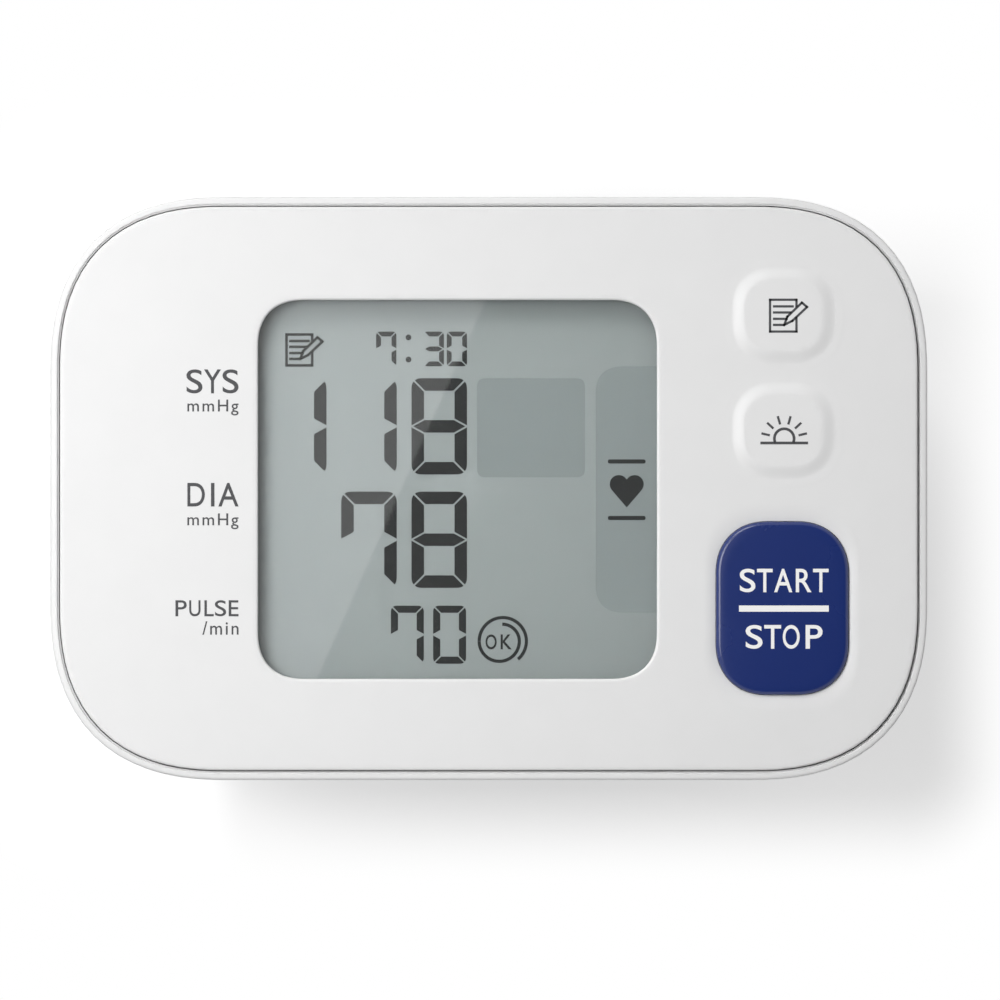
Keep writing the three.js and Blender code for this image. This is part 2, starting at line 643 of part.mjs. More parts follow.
function keys() {
  const place = (mesh, x, y, z = 0) => {
    mesh.position.set(x, y, z);
    return mesh;
  };
  return group(
    "keys",
    place(meshOf("start_button", startKey(), FINISH.blueKey), START_X, START_Y),
    place(meshOf("memory_button", softKey(), FINISH.softKey), KEY_X, MEMORY_Y),
    place(meshOf("average_button", softKey(), FINISH.softKey), KEY_X, AVERAGE_Y),
    place(meshOf("start_dome", dome(START_DOME_R), FINISH.silicone), START_X, START_Y, BOARD_TOP),
    place(meshOf("memory_dome", dome(SOFT_DOME_R), FINISH.silicone), KEY_X, MEMORY_Y, BOARD_TOP),
    place(meshOf("average_dome", dome(SOFT_DOME_R), FINISH.silicone), KEY_X, AVERAGE_Y, BOARD_TOP),
  );
}

function mainBoard() {
  const low = -CASE_H / 2 + SCREW_EDGE_Y + FIT;
  const [tabLeft, tabRight] = [KEY_X - BOARD_TAB, SIDE_SCREW_X - CASE_BOSS_R - BOARD_GAP];
  const sideY = SIDE_SCREW_Y - CASE_BOSS_R - BOARD_GAP;
  const outline = [
    [BOARD_LEFT, low],
    [tabRight, low],
    [tabRight, -sideY],
    [BOARD_RIGHT, -sideY],
    [BOARD_RIGHT, sideY],
    [tabRight, sideY],
    [tabRight, -low],
    [tabLeft, -low],
    [tabLeft, BOARD_PUMP_Y],
    [BOARD_LEFT, BOARD_PUMP_Y],
  ].map(([x, y]) => new THREE.Vector2(x, y));
  const holes = BOARD_SCREWS.map(([x, y]) => bar(BOARD_SCREW_R + BORE_PLAY, 0, FACE, x, y));
  return cut(prism(outline, BOARD_UNDER, BOARD_TOP), ...holes);
}

function boardGroup() {
  const chip = (y, size, thick) => {
    const half = size / 2;
    return box(CHIP_X - half, CHIP_X + half, y - half, y + half, BOARD_UNDER - thick, BOARD_UNDER);
  };
  const half = SENSOR_SIZE / 2;
  const sensor = join(
    box(
      MANIFOLD_X - half,
      MANIFOLD_X + half,
      MANIFOLD_Y - half,
      MANIFOLD_Y + half,
      MANIFOLD_TOP + FIT,
      BOARD_UNDER,
    ),
    bar(NIPPLE_R, MANIFOLD_TOP - SENSOR_NIPPLE, BOARD_UNDER - FIT, MANIFOLD_X, MANIFOLD_Y),
  );
  const processor = chip(PROCESSOR_Y, PROCESSOR_SIZE, PROCESSOR_T);
  const memory = chip(MEMORY_CHIP_Y, MEMORY_CHIP_SIZE, MEMORY_CHIP_T);
  return group(
    "electronics",
    meshOf("main_board", mainBoard(), FINISH.board),
    meshOf("processor_chip", processor, FINISH.chip),
    meshOf("memory_chip", memory, FINISH.chip),
    meshOf("pressure_sensor", sensor, FINISH.chip),
  );
}

// A coil that widens from its tip to its base, standing on z = 0.
class ConeCoil extends THREE.Curve {
  getPoint(t, target = new THREE.Vector3()) {
    const angle = 2 * Math.PI * SPRING_TURNS * t;
    const radius = SPRING_BASE_R + (SPRING_TIP_R - SPRING_BASE_R) * t;
    const height = SPRING_WIRE / 2 + (SPRING_L - SPRING_WIRE) * t;
    return target.set(radius * Math.cos(angle), radius * Math.sin(angle), height);
  }
}

// The least clear distance between the coil's own turns.
function coilGap(curve) {
  const perTurn = 24;
  const points = curve.getPoints(perTurn * SPRING_TURNS);
  let least = Infinity;
  points.forEach((a, i) =>
    points.slice(i + perTurn / 2).forEach((b) => {
      least = Math.min(least, a.distanceTo(b) - SPRING_WIRE);
    }),
  );
  return least;
}

function cell(plusSide) {
  const nubY = plusSide * (CELL_END + CELL_NUB);
  const can = barY(CELL_R, -CELL_END, CELL_END, 0, 0);
  return join(can, barY(CELL_NUB_R, Math.min(nubY, 0), Math.max(nubY, 0), 0, 0));
}

// A contact plate across one or both cells, with a pressed dimple where a cell's nub meets it.
function contact(side, x0, x1, dimpleX) {
  const [near, far] = [side * CONTACT_Y, side * (CONTACT_Y + CONTACT_T)];
  const rise = CELL_R - CONTACT_END;
  const plate = box(
    x0,
    x1,
    Math.min(near, far),
    Math.max(near, far),
    CELL_AXIS - rise,
    CELL_AXIS + rise,
  );
  if (dimpleX === undefined) return plate;
  const tip = side * (CELL_END + CELL_NUB + BORE_PLAY);
  return join(plate, barY(CELL_NUB_R, Math.min(near, tip), Math.max(near, tip), dimpleX, CELL_AXIS));
}

function power() {
  const place = (mesh, x, y, turn = 0) => {
    mesh.position.set(x, y, CELL_AXIS);
    mesh.rotation.x = turn;
    return mesh;
  };
  const coil = new ConeCoil();
  console.log("least gap in a battery spring, mm:", coilGap(coil).toFixed(3));
  const spring = (name) => {
    const body = sweep(coil, SPRING_WIRE / 2, SPRING_STEPS * SPRING_TURNS, SPRING_SIDES);
    return meshOf(name, body, FINISH.nickel);
  };
  const springY = CONTACT_Y - BORE_PLAY / 2;
  const leftEdge = LEFT_CELL_X - CONTACT_HALF + CONTACT_TRIM;
  return group(
    "power",
    place(meshOf("battery_left", cell(1), FINISH.cell), LEFT_CELL_X, 0),
    place(meshOf("battery_right", cell(-1), FINISH.cell), RIGHT_CELL_X, 0),
    place(spring("battery_spring_left"), LEFT_CELL_X, -springY, -Math.PI / 2),
    place(spring("battery_spring_right"), RIGHT_CELL_X, springY, Math.PI / 2),
    meshOf(
      "battery_contact_plus",
      contact(1, leftEdge, LEFT_CELL_X + CONTACT_HALF, LEFT_CELL_X),
      FINISH.nickel,
    ),
    meshOf(
      "battery_contact_minus",
      contact(1, RIGHT_CELL_X - CONTACT_HALF, RIGHT_CELL_X + CONTACT_HALF),
      FINISH.nickel,
    ),
    meshOf(
      "battery_contact_bridge",
      contact(-1, leftEdge, RIGHT_CELL_X + CONTACT_HALF, RIGHT_CELL_X),
      FINISH.nickel,
    ),
  );
}

function pump() {
  const [low, high] = [PUMP_Y - PUMP_W / 2, PUMP_Y + PUMP_W / 2];
  const block = (x0, x1) => box(x0, x1, low, high, PUMP_Z - PUMP_R, PUMP_Z + PUMP_R);
  const head = join(
    block(PUMP_X, PUMP_X + PUMP_HEAD_L),
    barY(NIPPLE_R, low - NIPPLE_L, low + OVER, OUTLET_X, PUMP_Z),
  );
  const frameEnd = PUMP_FRAME_X + PUMP_FRAME_L;
  const bore = barX(PUMP_BORE_R, PUMP_FRAME_X - OVER, frameEnd + OVER, PUMP_Y, PUMP_Z);
  const frame = cut(block(PUMP_FRAME_X, frameEnd), bore);
  const diaphragm = block(DIAPHRAGM_X, DIAPHRAGM_X + DIAPHRAGM_T);
  const crankX = PUMP_FRAME_X + PUMP_FRAME_L / 2;
  const crankMiddle = crankX + CRANK_T / 2;
  const crank = join(
    barX(CRANK_R, crankX, crankX + CRANK_T, PUMP_Y, PUMP_Z),
    barX(CRANK_PIN_R, crankMiddle, MOTOR_X - BORE_PLAY / 2, PUMP_Y, PUMP_Z),
    barX(CRANK_PIN_R, PUMP_FRAME_X + FIT, crankMiddle, PUMP_Y, PUMP_Z + CRANK_THROW),
  );
  const motorEnd = MOTOR_X + PUMP_MOTOR_L;
  const motor = join(
    barX(PUMP_R, MOTOR_X, motorEnd - MOTOR_CAP_L, PUMP_Y, PUMP_Z),
    barX(MOTOR_CAP_R, motorEnd - 2 * MOTOR_CAP_L, motorEnd, PUMP_Y, PUMP_Z),
  );
  return group(
    "pump",
    meshOf("pump_head", head, FINISH.greyPlastic),
    meshOf("pump_diaphragm", diaphragm, FINISH.rubber),
    meshOf("pump_frame", frame, FINISH.blackPlastic),
    meshOf("pump_crank", crank, FINISH.steel),
    meshOf("pump_motor", motor, FINISH.steel),
  );
}

function valve() {
  const [x0, x1] = [VALVE_X - VALVE_L / 2, VALVE_X + VALVE_L / 2];
  const [y0, y1] = [VALVE_Y - VALVE_W / 2, VALVE_Y + VALVE_W / 2];
  const boreEnd = x1 - PLUNGER_L + PLUNGER_TRAVEL;
  const body = cut(
    join(
      box(x0, x1, y0, y1, VALVE_Z - VALVE_H / 2, VALVE_Z + VALVE_H / 2),
      barY(NIPPLE_R, y1 - OVER, y1 + NIPPLE_L, x0 + VALVE_NIPPLE, VALVE_Z),
    ),
    barX(PLUNGER_R + BORE_PLAY, boreEnd, x1 + OVER, VALVE_Y, VALVE_Z),
  );
  const plunger = barX(PLUNGER_R, boreEnd + FIT, x1 + PLUNGER_TRAVEL, VALVE_Y, VALVE_Z);
  return group(
    "valve",
    meshOf("release_valve", body, FINISH.blackPlastic),
    meshOf("valve_plunger", plunger, FINISH.steel),
  );
}

function airways() {
  const half = MANIFOLD_SIZE / 2;
  const [x0, x1] = [MANIFOLD_X - half, MANIFOLD_X + half];
  const [y0, y1] = [MANIFOLD_Y - half, MANIFOLD_Y + half];
  const manifold = cut(
    join(
      box(x0, x1, y0, y1, MANIFOLD_Z, MANIFOLD_TOP),
      barY(NIPPLE_R, y1 - OVER, y1 + NIPPLE_L, MANIFOLD_X, NIPPLE_Z),
      barX(NIPPLE_R, x1 - OVER, x1 + NIPPLE_L, MANIFOLD_Y, NIPPLE_Z),
    ),
    bar(NIPPLE_R + BORE_PLAY, MANIFOLD_TOP - SOCKET_DEPTH, MANIFOLD_TOP + OVER, MANIFOLD_X, MANIFOLD_Y),
    bar(AIR_PORT_R + BORE_PLAY, 0, MANIFOLD_Z + SOCKET_DEPTH, MANIFOLD_X, MANIFOLD_Y),
  );
  // Each tube is pushed over a nipple at both ends. The points of its route are chosen by hand.
  const pushed = NIPPLE_L - FIT;
  const outlet = new THREE.Vector3(OUTLET_X, PUMP_Y - PUMP_W / 2 - FIT, PUMP_Z);
  const inlet = new THREE.Vector3(MANIFOLD_X, y1 + FIT, NIPPLE_Z);
  const pumpRoute = [
    outlet,
    outlet.clone().add(new THREE.Vector3(0, -pushed - 1, 0)),
    inlet.clone().add(new THREE.Vector3(0, pushed + 1, 0)),
    inlet,
  ];
  const releaseX = VALVE_X - VALVE_L / 2 + VALVE_NIPPLE;
  const release = new THREE.Vector3(releaseX, VALVE_Y + VALVE_W / 2 + FIT, VALVE_Z);
  const side = new THREE.Vector3(x1 + FIT, MANIFOLD_Y, NIPPLE_Z);
  const valveRoute = [
    release,
    release.clone().add(new THREE.Vector3(0, pushed + 1, 0)),
    new THREE.Vector3(releaseX - 0.5, MANIFOLD_Y - 3, NIPPLE_Z),
    side.clone().add(new THREE.Vector3(pushed + 0.5, 0, 0)),
    side,
  ];
  const tube = (route) => {
    const curve = new THREE.CatmullRomCurve3(route, false, "centripetal");
    return sweep(curve, TUBE_R, TUBE_STEPS, TUBE_SIDES, NIPPLE_R + BORE_PLAY);
  };
  return group(
    "airways",
    meshOf("air_manifold", manifold, FINISH.greyPlastic),
    meshOf("pump_tube", tube(pumpRoute), FINISH.silicone),
    meshOf("valve_tube", tube(valveRoute), FINISH.silicone),
  );
}

// The leads' routes, too, are points chosen by hand between the two ends of each lead.
function leads() {
  const wire = (points) => {
    const curve = new THREE.CatmullRomCurve3(points.map((p) => new THREE.Vector3(...p)));
    return sweep(curve, LEAD_R, LEAD_STEPS, LEAD_SIDES);
  };
  const motorEnd = MOTOR_X + PUMP_MOTOR_L + FIT + LEAD_R;
  const motorLead = (shift) =>
    wire([
      [motorEnd + shift, PUMP_Y - 1, PUMP_Z],
      [motorEnd + 0.8 + shift, PUMP_Y - 3, PUMP_Z + 0.8],
      [motorEnd + 0.4 + shift, BOARD_PUMP_Y - 2, LEAD_Z],
    ]);
  const valveEnd = VALVE_X - VALVE_L / 2 - FIT - LEAD_R;
  const valveLead = (shift) =>
    wire([
      [valveEnd, VALVE_Y + shift, VALVE_Z - FIT],
      [valveEnd - 2, VALVE_Y + shift, FLOOR + VALVE_H],
      [valveEnd - 5, VALVE_Y + 1 + shift, LEAD_Z],
    ]);
  return group(
    "leads",
    meshOf("motor_lead_red", motorLead(0), FINISH.redWire),
    meshOf("motor_lead_black", motorLead(MOTOR_LEAD_PITCH), FINISH.blackWire),
    meshOf("valve_lead_red", valveLead(0), FINISH.redWire),
    meshOf("valve_lead_black", valveLead(-VALVE_LEAD_PITCH), FINISH.blackWire),
  );
}

// A screw whose head stands below z = 0 and whose shank rises from it.
function screw(radius, headRadius, headThick, length) {
  return turned([
    [0, -headThick],
    [headRadius, -headThick],
    [headRadius, 0],
    [radius, 0],
    [radius, length],
    [0, length],
  ]);
}

function screws() {
  const caseLength = COVER_UNDER - PILOT_STOP - CASE_SCREW_SEAT - FIT;
  const boardLength = COVER_UNDER - BOARD_UNDER - 2 * FIT;
  const place = (mesh, [x, y], z) => {
    mesh.position.set(x, y, z);
    return mesh;
  };
  const caseScrews = CASE_SCREWS.map((at, i) => {
    const body = screw(CASE_SCREW_R, CASE_SCREW_HEAD_R, CASE_SCREW_HEAD_T, caseLength);
    return place(meshOf(`case_screw_${i + 1}`, body, FINISH.steel), at, CASE_SCREW_SEAT);
  });
  const boardScrews = BOARD_SCREWS.map((at, i) => {
    const body = screw(BOARD_SCREW_R, BOARD_SCREW_HEAD_R, BOARD_SCREW_HEAD_T, boardLength);
    return place(meshOf(`board_screw_${i + 1}`, body, FINISH.steel), at, BOARD_UNDER);
  });
  return group("screws", ...caseScrews, ...boardScrews);
}

function clawPlaces() {
  return [-1, 1].flatMap((sx) => [-1, 1].map((sy) => [sx * CLAW_X, sy * CLAW_Y]));
}

// The plate that carries the cuff: its claws hook through slots in the back of the case.
function basePlate() {
  const [right, back] = [BASE_PLATE_W / 2, BASE_PLATE_H / 2];
  const plate = box(-right, right, -back, back, -BASE_PLATE_T, 0);
  const claws = clawPlaces().flatMap(([x, y]) => {
    const [y0, y1] = [y - CLAW_L / 2, y + CLAW_L / 2];
    const out = Math.sign(x) * CLAW_LIP;
    const [x0, x1] = [x - CLAW_T / 2, x + CLAW_T / 2];
    const top = FLOOR + BORE_PLAY + CLAW_LIP;
    return [
      box(x0, x1, y0, y1, -BASE_PLATE_T / 2, top),
      box(Math.min(x0, x0 + out), Math.max(x1, x1 + out), y0, y1, FLOOR + BORE_PLAY, top),
    ];
  });
  const port = bar(AIR_PORT_R + BORE_PLAY, -BASE_PLATE_T - OVER, OVER, MANIFOLD_X, MANIFOLD_Y);
  return cut(join(plate, ...claws), port);
}

// The band's centre section seen along Y: points of the loop at a depth below its outer face.
function cuffLine(depth) {
  const [topX, topZ] = [CUFF_W / 2 - CUFF_TOP_R, CUFF_H - CUFF_TOP_R];
  const bottomX = CUFF_W / 2 - CUFF_BOTTOM_R;
  const [topR, bottomR] = [CUFF_TOP_R - depth, CUFF_BOTTOM_R - depth];
  const end = 2 * Math.PI - THREE.MathUtils.degToRad(TAIL_ANGLE);
  const path = new THREE.Path();
  path.moveTo(CUFF_W / 2 - depth, STUB_Z);
  path.lineTo(CUFF_W / 2 - depth, topZ);
  path.absarc(topX, topZ, topR, 0, Math.PI / 2, false);
  path.absarc(-topX, topZ, topR, Math.PI / 2, Math.PI, false);
  path.absarc(-bottomX, CUFF_BOTTOM_R, bottomR, Math.PI, 1.5 * Math.PI, false);
  path.absarc(bottomX, CUFF_BOTTOM_R, bottomR, 1.5 * Math.PI, end, false);
  return path.getPoints(ARC_STEPS);
}

// A strip between two lines seen along Y, stretched from one width to the other.
function strip(outer, inner, low, high) {
  const shape = new THREE.Shape([...outer, ...inner.slice().reverse()]);
  const geometry = new THREE.ExtrudeGeometry(shape, { depth: high - low, bevelEnabled: false });
  return solid(geometry.rotateX(Math.PI / 2).translate(0, high, 0));
}

const layer = (depth, thick, half) => strip(cuffLine(depth), cuffLine(depth + thick), -half, half);

function offsetLine(points, distance) {
  return points.map((point, i) => {
    const along = points[Math.min(i + 1, points.length - 1)].clone().sub(points[Math.max(i - 1, 0)]);
    const inward = new THREE.Vector2(-along.y, along.x).normalize();
    return point.clone().addScaledVector(inward, distance);
  });
}

// The tail's outer face seen along Y, from its root at the lower right to its tip, through points
// chosen by hand beside the band.
function tailLine() {
  const angle = THREE.MathUtils.degToRad(TAIL_ANGLE);
  const rootX = CUFF_W / 2 - CUFF_BOTTOM_R * (1 - Math.cos(angle));
  const rootZ = CUFF_BOTTOM_R * (1 - Math.sin(angle));
  const [side, reach] = [CUFF_W / 2 + TAIL_T + HOOK_T + FIT, CUFF_H - CUFF_TOP_R];
  const route = [
    [rootX + TAIL_GAP * Math.sin(angle), rootZ + TAIL_GAP * Math.cos(angle)],
    [side - 3.8, rootZ + 5.8],
    [side - 1.6, rootZ + 12.8],
    [side, reach - 9.7],
    [side + 0.3, reach - 2.7],
    [side - 0.1, reach + 3.3],
    [side - 1.8, reach + 8.3],
  ];
  return new THREE.SplineCurve(route.map(([x, z]) => new THREE.Vector2(x, z))).getPoints(TAIL_STEPS);
}

function tail() {
  const line = tailLine();
  const half = BAND_HALF - TAIL_EDGE;
  const [hookLow, hookHigh] = [STUB_Z - HOOK_REACH, CUFF_H - CUFF_TOP_R + HOOK_REACH];
  const hooked = line.filter((p) => p.y > hookLow && p.y < hookHigh);
  const strap = strip(line, offsetLine(line, TAIL_T), -half, half);
  const hook = strip(
    offsetLine(hooked, TAIL_T + SLIP),
    offsetLine(hooked, TAIL_T + HOOK_T),
    -half + HOOK_EDGE,
    half - HOOK_EDGE,
  );
  return [meshOf("cuff_tail", strap, FINISH.cloth), meshOf("hook_patch", hook, FINISH.hook)];
}

function cuff() {
  const curlerDepth = COVER_CLOTH_T + FIT;
  const bladderDepth = curlerDepth + CURLER_T + FIT;
  const liningDepth = bladderDepth + BLADDER_T + FIT;
  const inner = BAND_HALF - BINDING_W; // the stiff and airtight layers stop short of the edges
  const hole = bar(AIR_PORT_R + BORE_PLAY, AIR_PORT_Z, CUFF_H + OVER, MANIFOLD_X, MANIFOLD_Y);
  const pocketLow = AIR_PORT_Z - AIR_PORT_SINK - BORE_PLAY;
  const pocket = bar(AIR_PORT_FLANGE_R + BORE_PLAY, pocketLow, CUFF_H, MANIFOLD_X, MANIFOLD_Y);
  const binding = (side) => {
    const [low, high] = [BINDING_Y, BINDING_Y + BINDING_W].map((y) => side * y).sort((a, b) => a - b);
    return strip(cuffLine(0), cuffLine(BAND_T), low, high);
  };
  return group(
    "cuff",
    meshOf("cuff_cover", cut(layer(0, COVER_CLOTH_T, BAND_HALF), hole), FINISH.cloth),
    meshOf("cuff_curler", cut(layer(curlerDepth, CURLER_T, inner), hole), FINISH.film),
    meshOf("cuff_bladder", cut(layer(bladderDepth, BLADDER_T, inner), pocket), FINISH.film),
    meshOf("cuff_lining", layer(liningDepth, LINING_T, BAND_HALF), FINISH.lining),
    meshOf("cuff_binding_top", binding(1), FINISH.cloth),
    meshOf("cuff_binding_bottom", binding(-1), FINISH.cloth),
    ...tail(),
  );
}

// The tube that carries air from the manifold through the back into the bladder.
function airPort() {
  const low = AIR_PORT_Z - AIR_PORT_SINK;
  const shoulder = low + AIR_PORT_FLANGE_T;
  const top = UNIT_Z + MANIFOLD_Z + SOCKET_DEPTH - FIT;
  const body = turned([
    [0, low],
    [AIR_PORT_FLANGE_R, low],
    [AIR_PORT_FLANGE_R, shoulder],
    [AIR_PORT_R, shoulder],
    [AIR_PORT_R, top],
    [0, top],
  ]);
  const mesh = meshOf("air_port", cut(body, bar(AIR_PORT_BORE_R, 0, 2 * UNIT_Z)), FINISH.greyPlastic);
  mesh.position.set(MANIFOLD_X, MANIFOLD_Y, 0);
  return mesh;
}

const unit = group(
  "unit",
  meshOf("rear_case", rearCase(), FINISH.shell),
  meshOf("battery_cover", batteryDoor(), FINISH.shell),
  meshOf("front_cover", frontCover(), FINISH.shell),
  displayStack(),
  keys(),
  boardGroup(),
  power(),
  pump(),
  valve(),
  airways(),
  leads(),
  screws(),
  meshOf("cuff_base_plate", basePlate(), FINISH.greyPlastic),
);
unit.position.z = UNIT_Z;

export default group("wrist_blood_pressure_monitor", unit, airPort(), cuff());
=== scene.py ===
"""Looks of a wrist blood pressure monitor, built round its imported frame.

Shapes are drawn in millimetres in the row frame and scaled to metres when a piece is made. The
display faces up, its right side is +X and its top is +Y. Heights in the display unit's classes are
counted from the back of its case, which lies BACK above the floor.
"""

import logging
import math
from dataclasses import astuple, dataclass, replace
from enum import Enum
from functools import cache
from typing import Callable, Sequence

import bmesh
import bpy
from bmesh.types import BMEdge, BMesh, BMFace, BMVert
from bpy.types import Curve, ID, Material, Mesh, Node, NodeSocket, NodeTree, Object
from mathutils import Matrix, Vector
from mathutils.geometry import interpolate_bezier
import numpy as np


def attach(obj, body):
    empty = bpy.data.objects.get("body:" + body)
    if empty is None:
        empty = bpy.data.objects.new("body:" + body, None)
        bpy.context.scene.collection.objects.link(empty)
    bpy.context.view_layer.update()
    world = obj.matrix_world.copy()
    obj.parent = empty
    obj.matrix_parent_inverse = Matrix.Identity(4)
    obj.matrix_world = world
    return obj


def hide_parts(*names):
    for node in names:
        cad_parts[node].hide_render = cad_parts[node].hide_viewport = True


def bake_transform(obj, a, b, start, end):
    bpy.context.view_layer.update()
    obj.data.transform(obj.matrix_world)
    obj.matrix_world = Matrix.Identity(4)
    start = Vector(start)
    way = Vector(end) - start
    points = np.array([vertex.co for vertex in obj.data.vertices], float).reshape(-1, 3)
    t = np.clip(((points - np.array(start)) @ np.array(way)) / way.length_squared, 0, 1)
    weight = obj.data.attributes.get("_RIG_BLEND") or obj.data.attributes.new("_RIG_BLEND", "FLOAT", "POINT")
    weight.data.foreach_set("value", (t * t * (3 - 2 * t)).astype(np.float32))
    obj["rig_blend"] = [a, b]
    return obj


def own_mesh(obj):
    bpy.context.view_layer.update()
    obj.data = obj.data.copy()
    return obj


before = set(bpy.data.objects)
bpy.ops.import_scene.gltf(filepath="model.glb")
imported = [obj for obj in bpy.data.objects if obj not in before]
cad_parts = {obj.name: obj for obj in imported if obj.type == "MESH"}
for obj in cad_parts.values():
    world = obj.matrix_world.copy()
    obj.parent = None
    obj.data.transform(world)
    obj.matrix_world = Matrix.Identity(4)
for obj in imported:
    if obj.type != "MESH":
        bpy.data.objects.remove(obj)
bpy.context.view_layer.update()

LOG = logging.getLogger("monitor")

MM = 0.001
BACK = 54.0  # height of the unit's back above the floor
FACE = 15.0  # from the unit's back to its face
SHARP = math.radians(33)  # an edge that turns by more than this is shaded as an edge
CORNER_STEPS = 18
CORNER_PROFILE = 0.57  # a little fuller than a circle
LEAST_REACH = 0.05
MOST_REACH = 0.49  # over an outline's shorter side
BRIDGE_STEP = 50.0  # loops are bridged one above the other, then moved to their heights
ROUND_STEPS = 48  # round a turned piece
BLOCK_STEPS = 3  # over a block's rounded edge
DOUBLE = 1e-5  # points closer than this are one
PAST = 1.0  # how far a cutting shape stands out of what it cuts

Colour = tuple[float, float, float]
Point = tuple[float, float]
Level = tuple["SoftOutline", float]


class Body(Enum):
    """The moving bodies of the frame."""

    HOUSING = "housing"
    START_KEY = "start_key"
    MEMORY_KEY = "memory_key"
    AVERAGE_KEY = "average_key"
    DOOR = "battery_door"
    TAIL = "tail"


class Slot(Enum):
    """The record's material slots, one named by each new piece."""

    SHELL = "shell"
    SOFT_KEY = "soft_key"
    BLUE_KEY = "blue_key"
    LENS = "lens"
    DISPLAY = "display"
    GREY_PLASTIC = "grey_plastic"
    SILICONE = "silicone"
    STEEL = "steel"
    NICKEL = "nickel"
    CELL = "cell"
    CLOTH = "cloth"
    LINING = "lining"
    FILM = "film"
    HOOK = "hook"


class Carve(Enum):
    """Ways to put two closed meshes together."""

    AWAY = "DIFFERENCE"
    COMMON = "INTERSECT"
    TOGETHER = "UNION"


# Meshes


@dataclass(frozen=True)
class SoftOutline:
    """A rectangle with soft corners, seen from above."""

    width: float
    height: float
    reach: float  # how far a corner's curve runs along each side
    x: float = 0.0
    y: float = 0.0
    profile: float = CORNER_PROFILE  # 0.5 is a circle

    def grown(self, by: float, lost: float = 1.0) -> "SoftOutline":
        """Grows the outline on every side.

        Args:
            by: Distance to grow by; a negative one sets the outline in.
            lost: How much longer the corners get for each millimetre.

        Returns:
            The new outline.
        """
        width, height = self.width + 2 * by, self.height + 2 * by
        most = MOST_REACH * min(width, height)
        reach = min(max(self.reach + lost * by, LEAST_REACH), most)
        return replace(self, width=width, height=height, reach=reach)

    def towards(self, other: "SoftOutline", share: float) -> "SoftOutline":
        """Gives an outline that is a share of the way to another one."""
        pairs = zip(astuple(self), astuple(other))
        return SoftOutline(*((1 - share) * mine + share * theirs for mine, theirs in pairs))

    def face(self, bm: BMesh, z: float) -> BMFace:
        """Draws the outline as one flat face.

        Args:
            bm: Mesh to draw in.
            z: Height.

        Returns:
            The face.
        """
        verts = bmesh.ops.create_grid(bm, x_segments=1, y_segments=1, size=0.5)["verts"]
        bmesh.ops.scale(bm, vec=(self.width, self.height, 1), verts=verts)
        bmesh.ops.translate(bm, vec=(self.x, self.y, z), verts=verts)
        corners = bmesh.ops.bevel(
            bm, geom=verts, offset=self.reach, offset_type="OFFSET", segments=CORNER_STEPS,
            profile=self.profile, affect="VERTICES", material=-1,
        )
        return corners["verts"][0].link_faces[0]

    def ring(self, bm: BMesh, z: float) -> list[BMEdge]:
        """Draws the outline as a loop of edges.

        Args:
            bm: Mesh to draw in.
            z: Height.

        Returns:
            The loop's edges.
        """
        face = self.face(bm, z)
        edges = list(face.edges)
        bmesh.ops.delete(bm, geom=[face], context="FACES_ONLY")
        return edges


def loft(bm: BMesh, levels: Sequence[Level]) -> list[list[BMEdge]]:
    """Skins a row of outlines.

    Args:
        bm: Mesh to draw in.
        levels: Outlines and their heights, in order.

    Returns:
        The loops of the levels.
    """
    rings = [outline.ring(bm, BRIDGE_STEP * place) for place, (outline, _) in enumerate(levels)]
    for first, second in zip(rings, rings[1:]):
        bmesh.ops.bridge_loops(bm, edges=first + second)
    for place, (ring, (_, z)) in enumerate(zip(rings, levels)):
        verts = list({vert for edge in ring for vert in edge.verts})
        bmesh.ops.translate(bm, vec=(0, 0, z - BRIDGE_STEP * place), verts=verts)
    return rings


def fill(bm: BMesh, *rings: list[BMEdge]) -> None:
    """Closes the flat area between loops."""
    edges = [edge for ring in rings for edge in ring]
    bmesh.ops.triangle_fill(bm, edges=edges, use_beauty=True)


def tidy(bm: BMesh) -> BMesh:
    """Merges doubles and turns the faces outwards.

    Args:
        bm: Mesh to tidy.

    Returns:
        The same mesh.
    """
    bmesh.ops.remove_doubles(bm, verts=bm.verts, dist=DOUBLE)
    bmesh.ops.recalc_face_normals(bm, faces=bm.faces)
    return bm


def closed_loft(levels: Sequence[Level]) -> BMesh:
    """Makes a closed solid through outlines.

    Args:
        levels: Outlines and their heights, in order.

    Returns:
        The solid.
    """
    bm = bmesh.new()
    rings = loft(bm, levels)
    fill(bm, rings[0])
    fill(bm, rings[-1])
    return tidy(bm)


def rounded(
    outline: Callable[[float], SoftOutline], radius: float, flat: float, steps: int, way: int = 1
) -> list[Level]:
    """Rounds the edge between an upright side and a flat face.

    Args:
        outline: Gives the outline at a distance in from the side.
        radius: Radius of the edge.
        flat: Height of the face.
        steps: Fineness of the edge.
        way: 1 where the face looks up, -1 where it looks down.

    Returns:
        The levels, from the side to the face.
    """
    levels = []
    for step in range(steps + 1):
        angle = math.pi / 2 * step / steps
        height = flat - way * radius * (1 - math.sin(angle))
        levels.append((outline(radius * (1 - math.cos(angle))), height))
    return levels


def shifted(bm: BMesh, x: float, y: float, z: float = 0.0) -> BMesh:
    """Moves a whole mesh, and gives it back."""
    bmesh.ops.translate(bm, vec=(x, y, z), verts=bm.verts)
    return bm


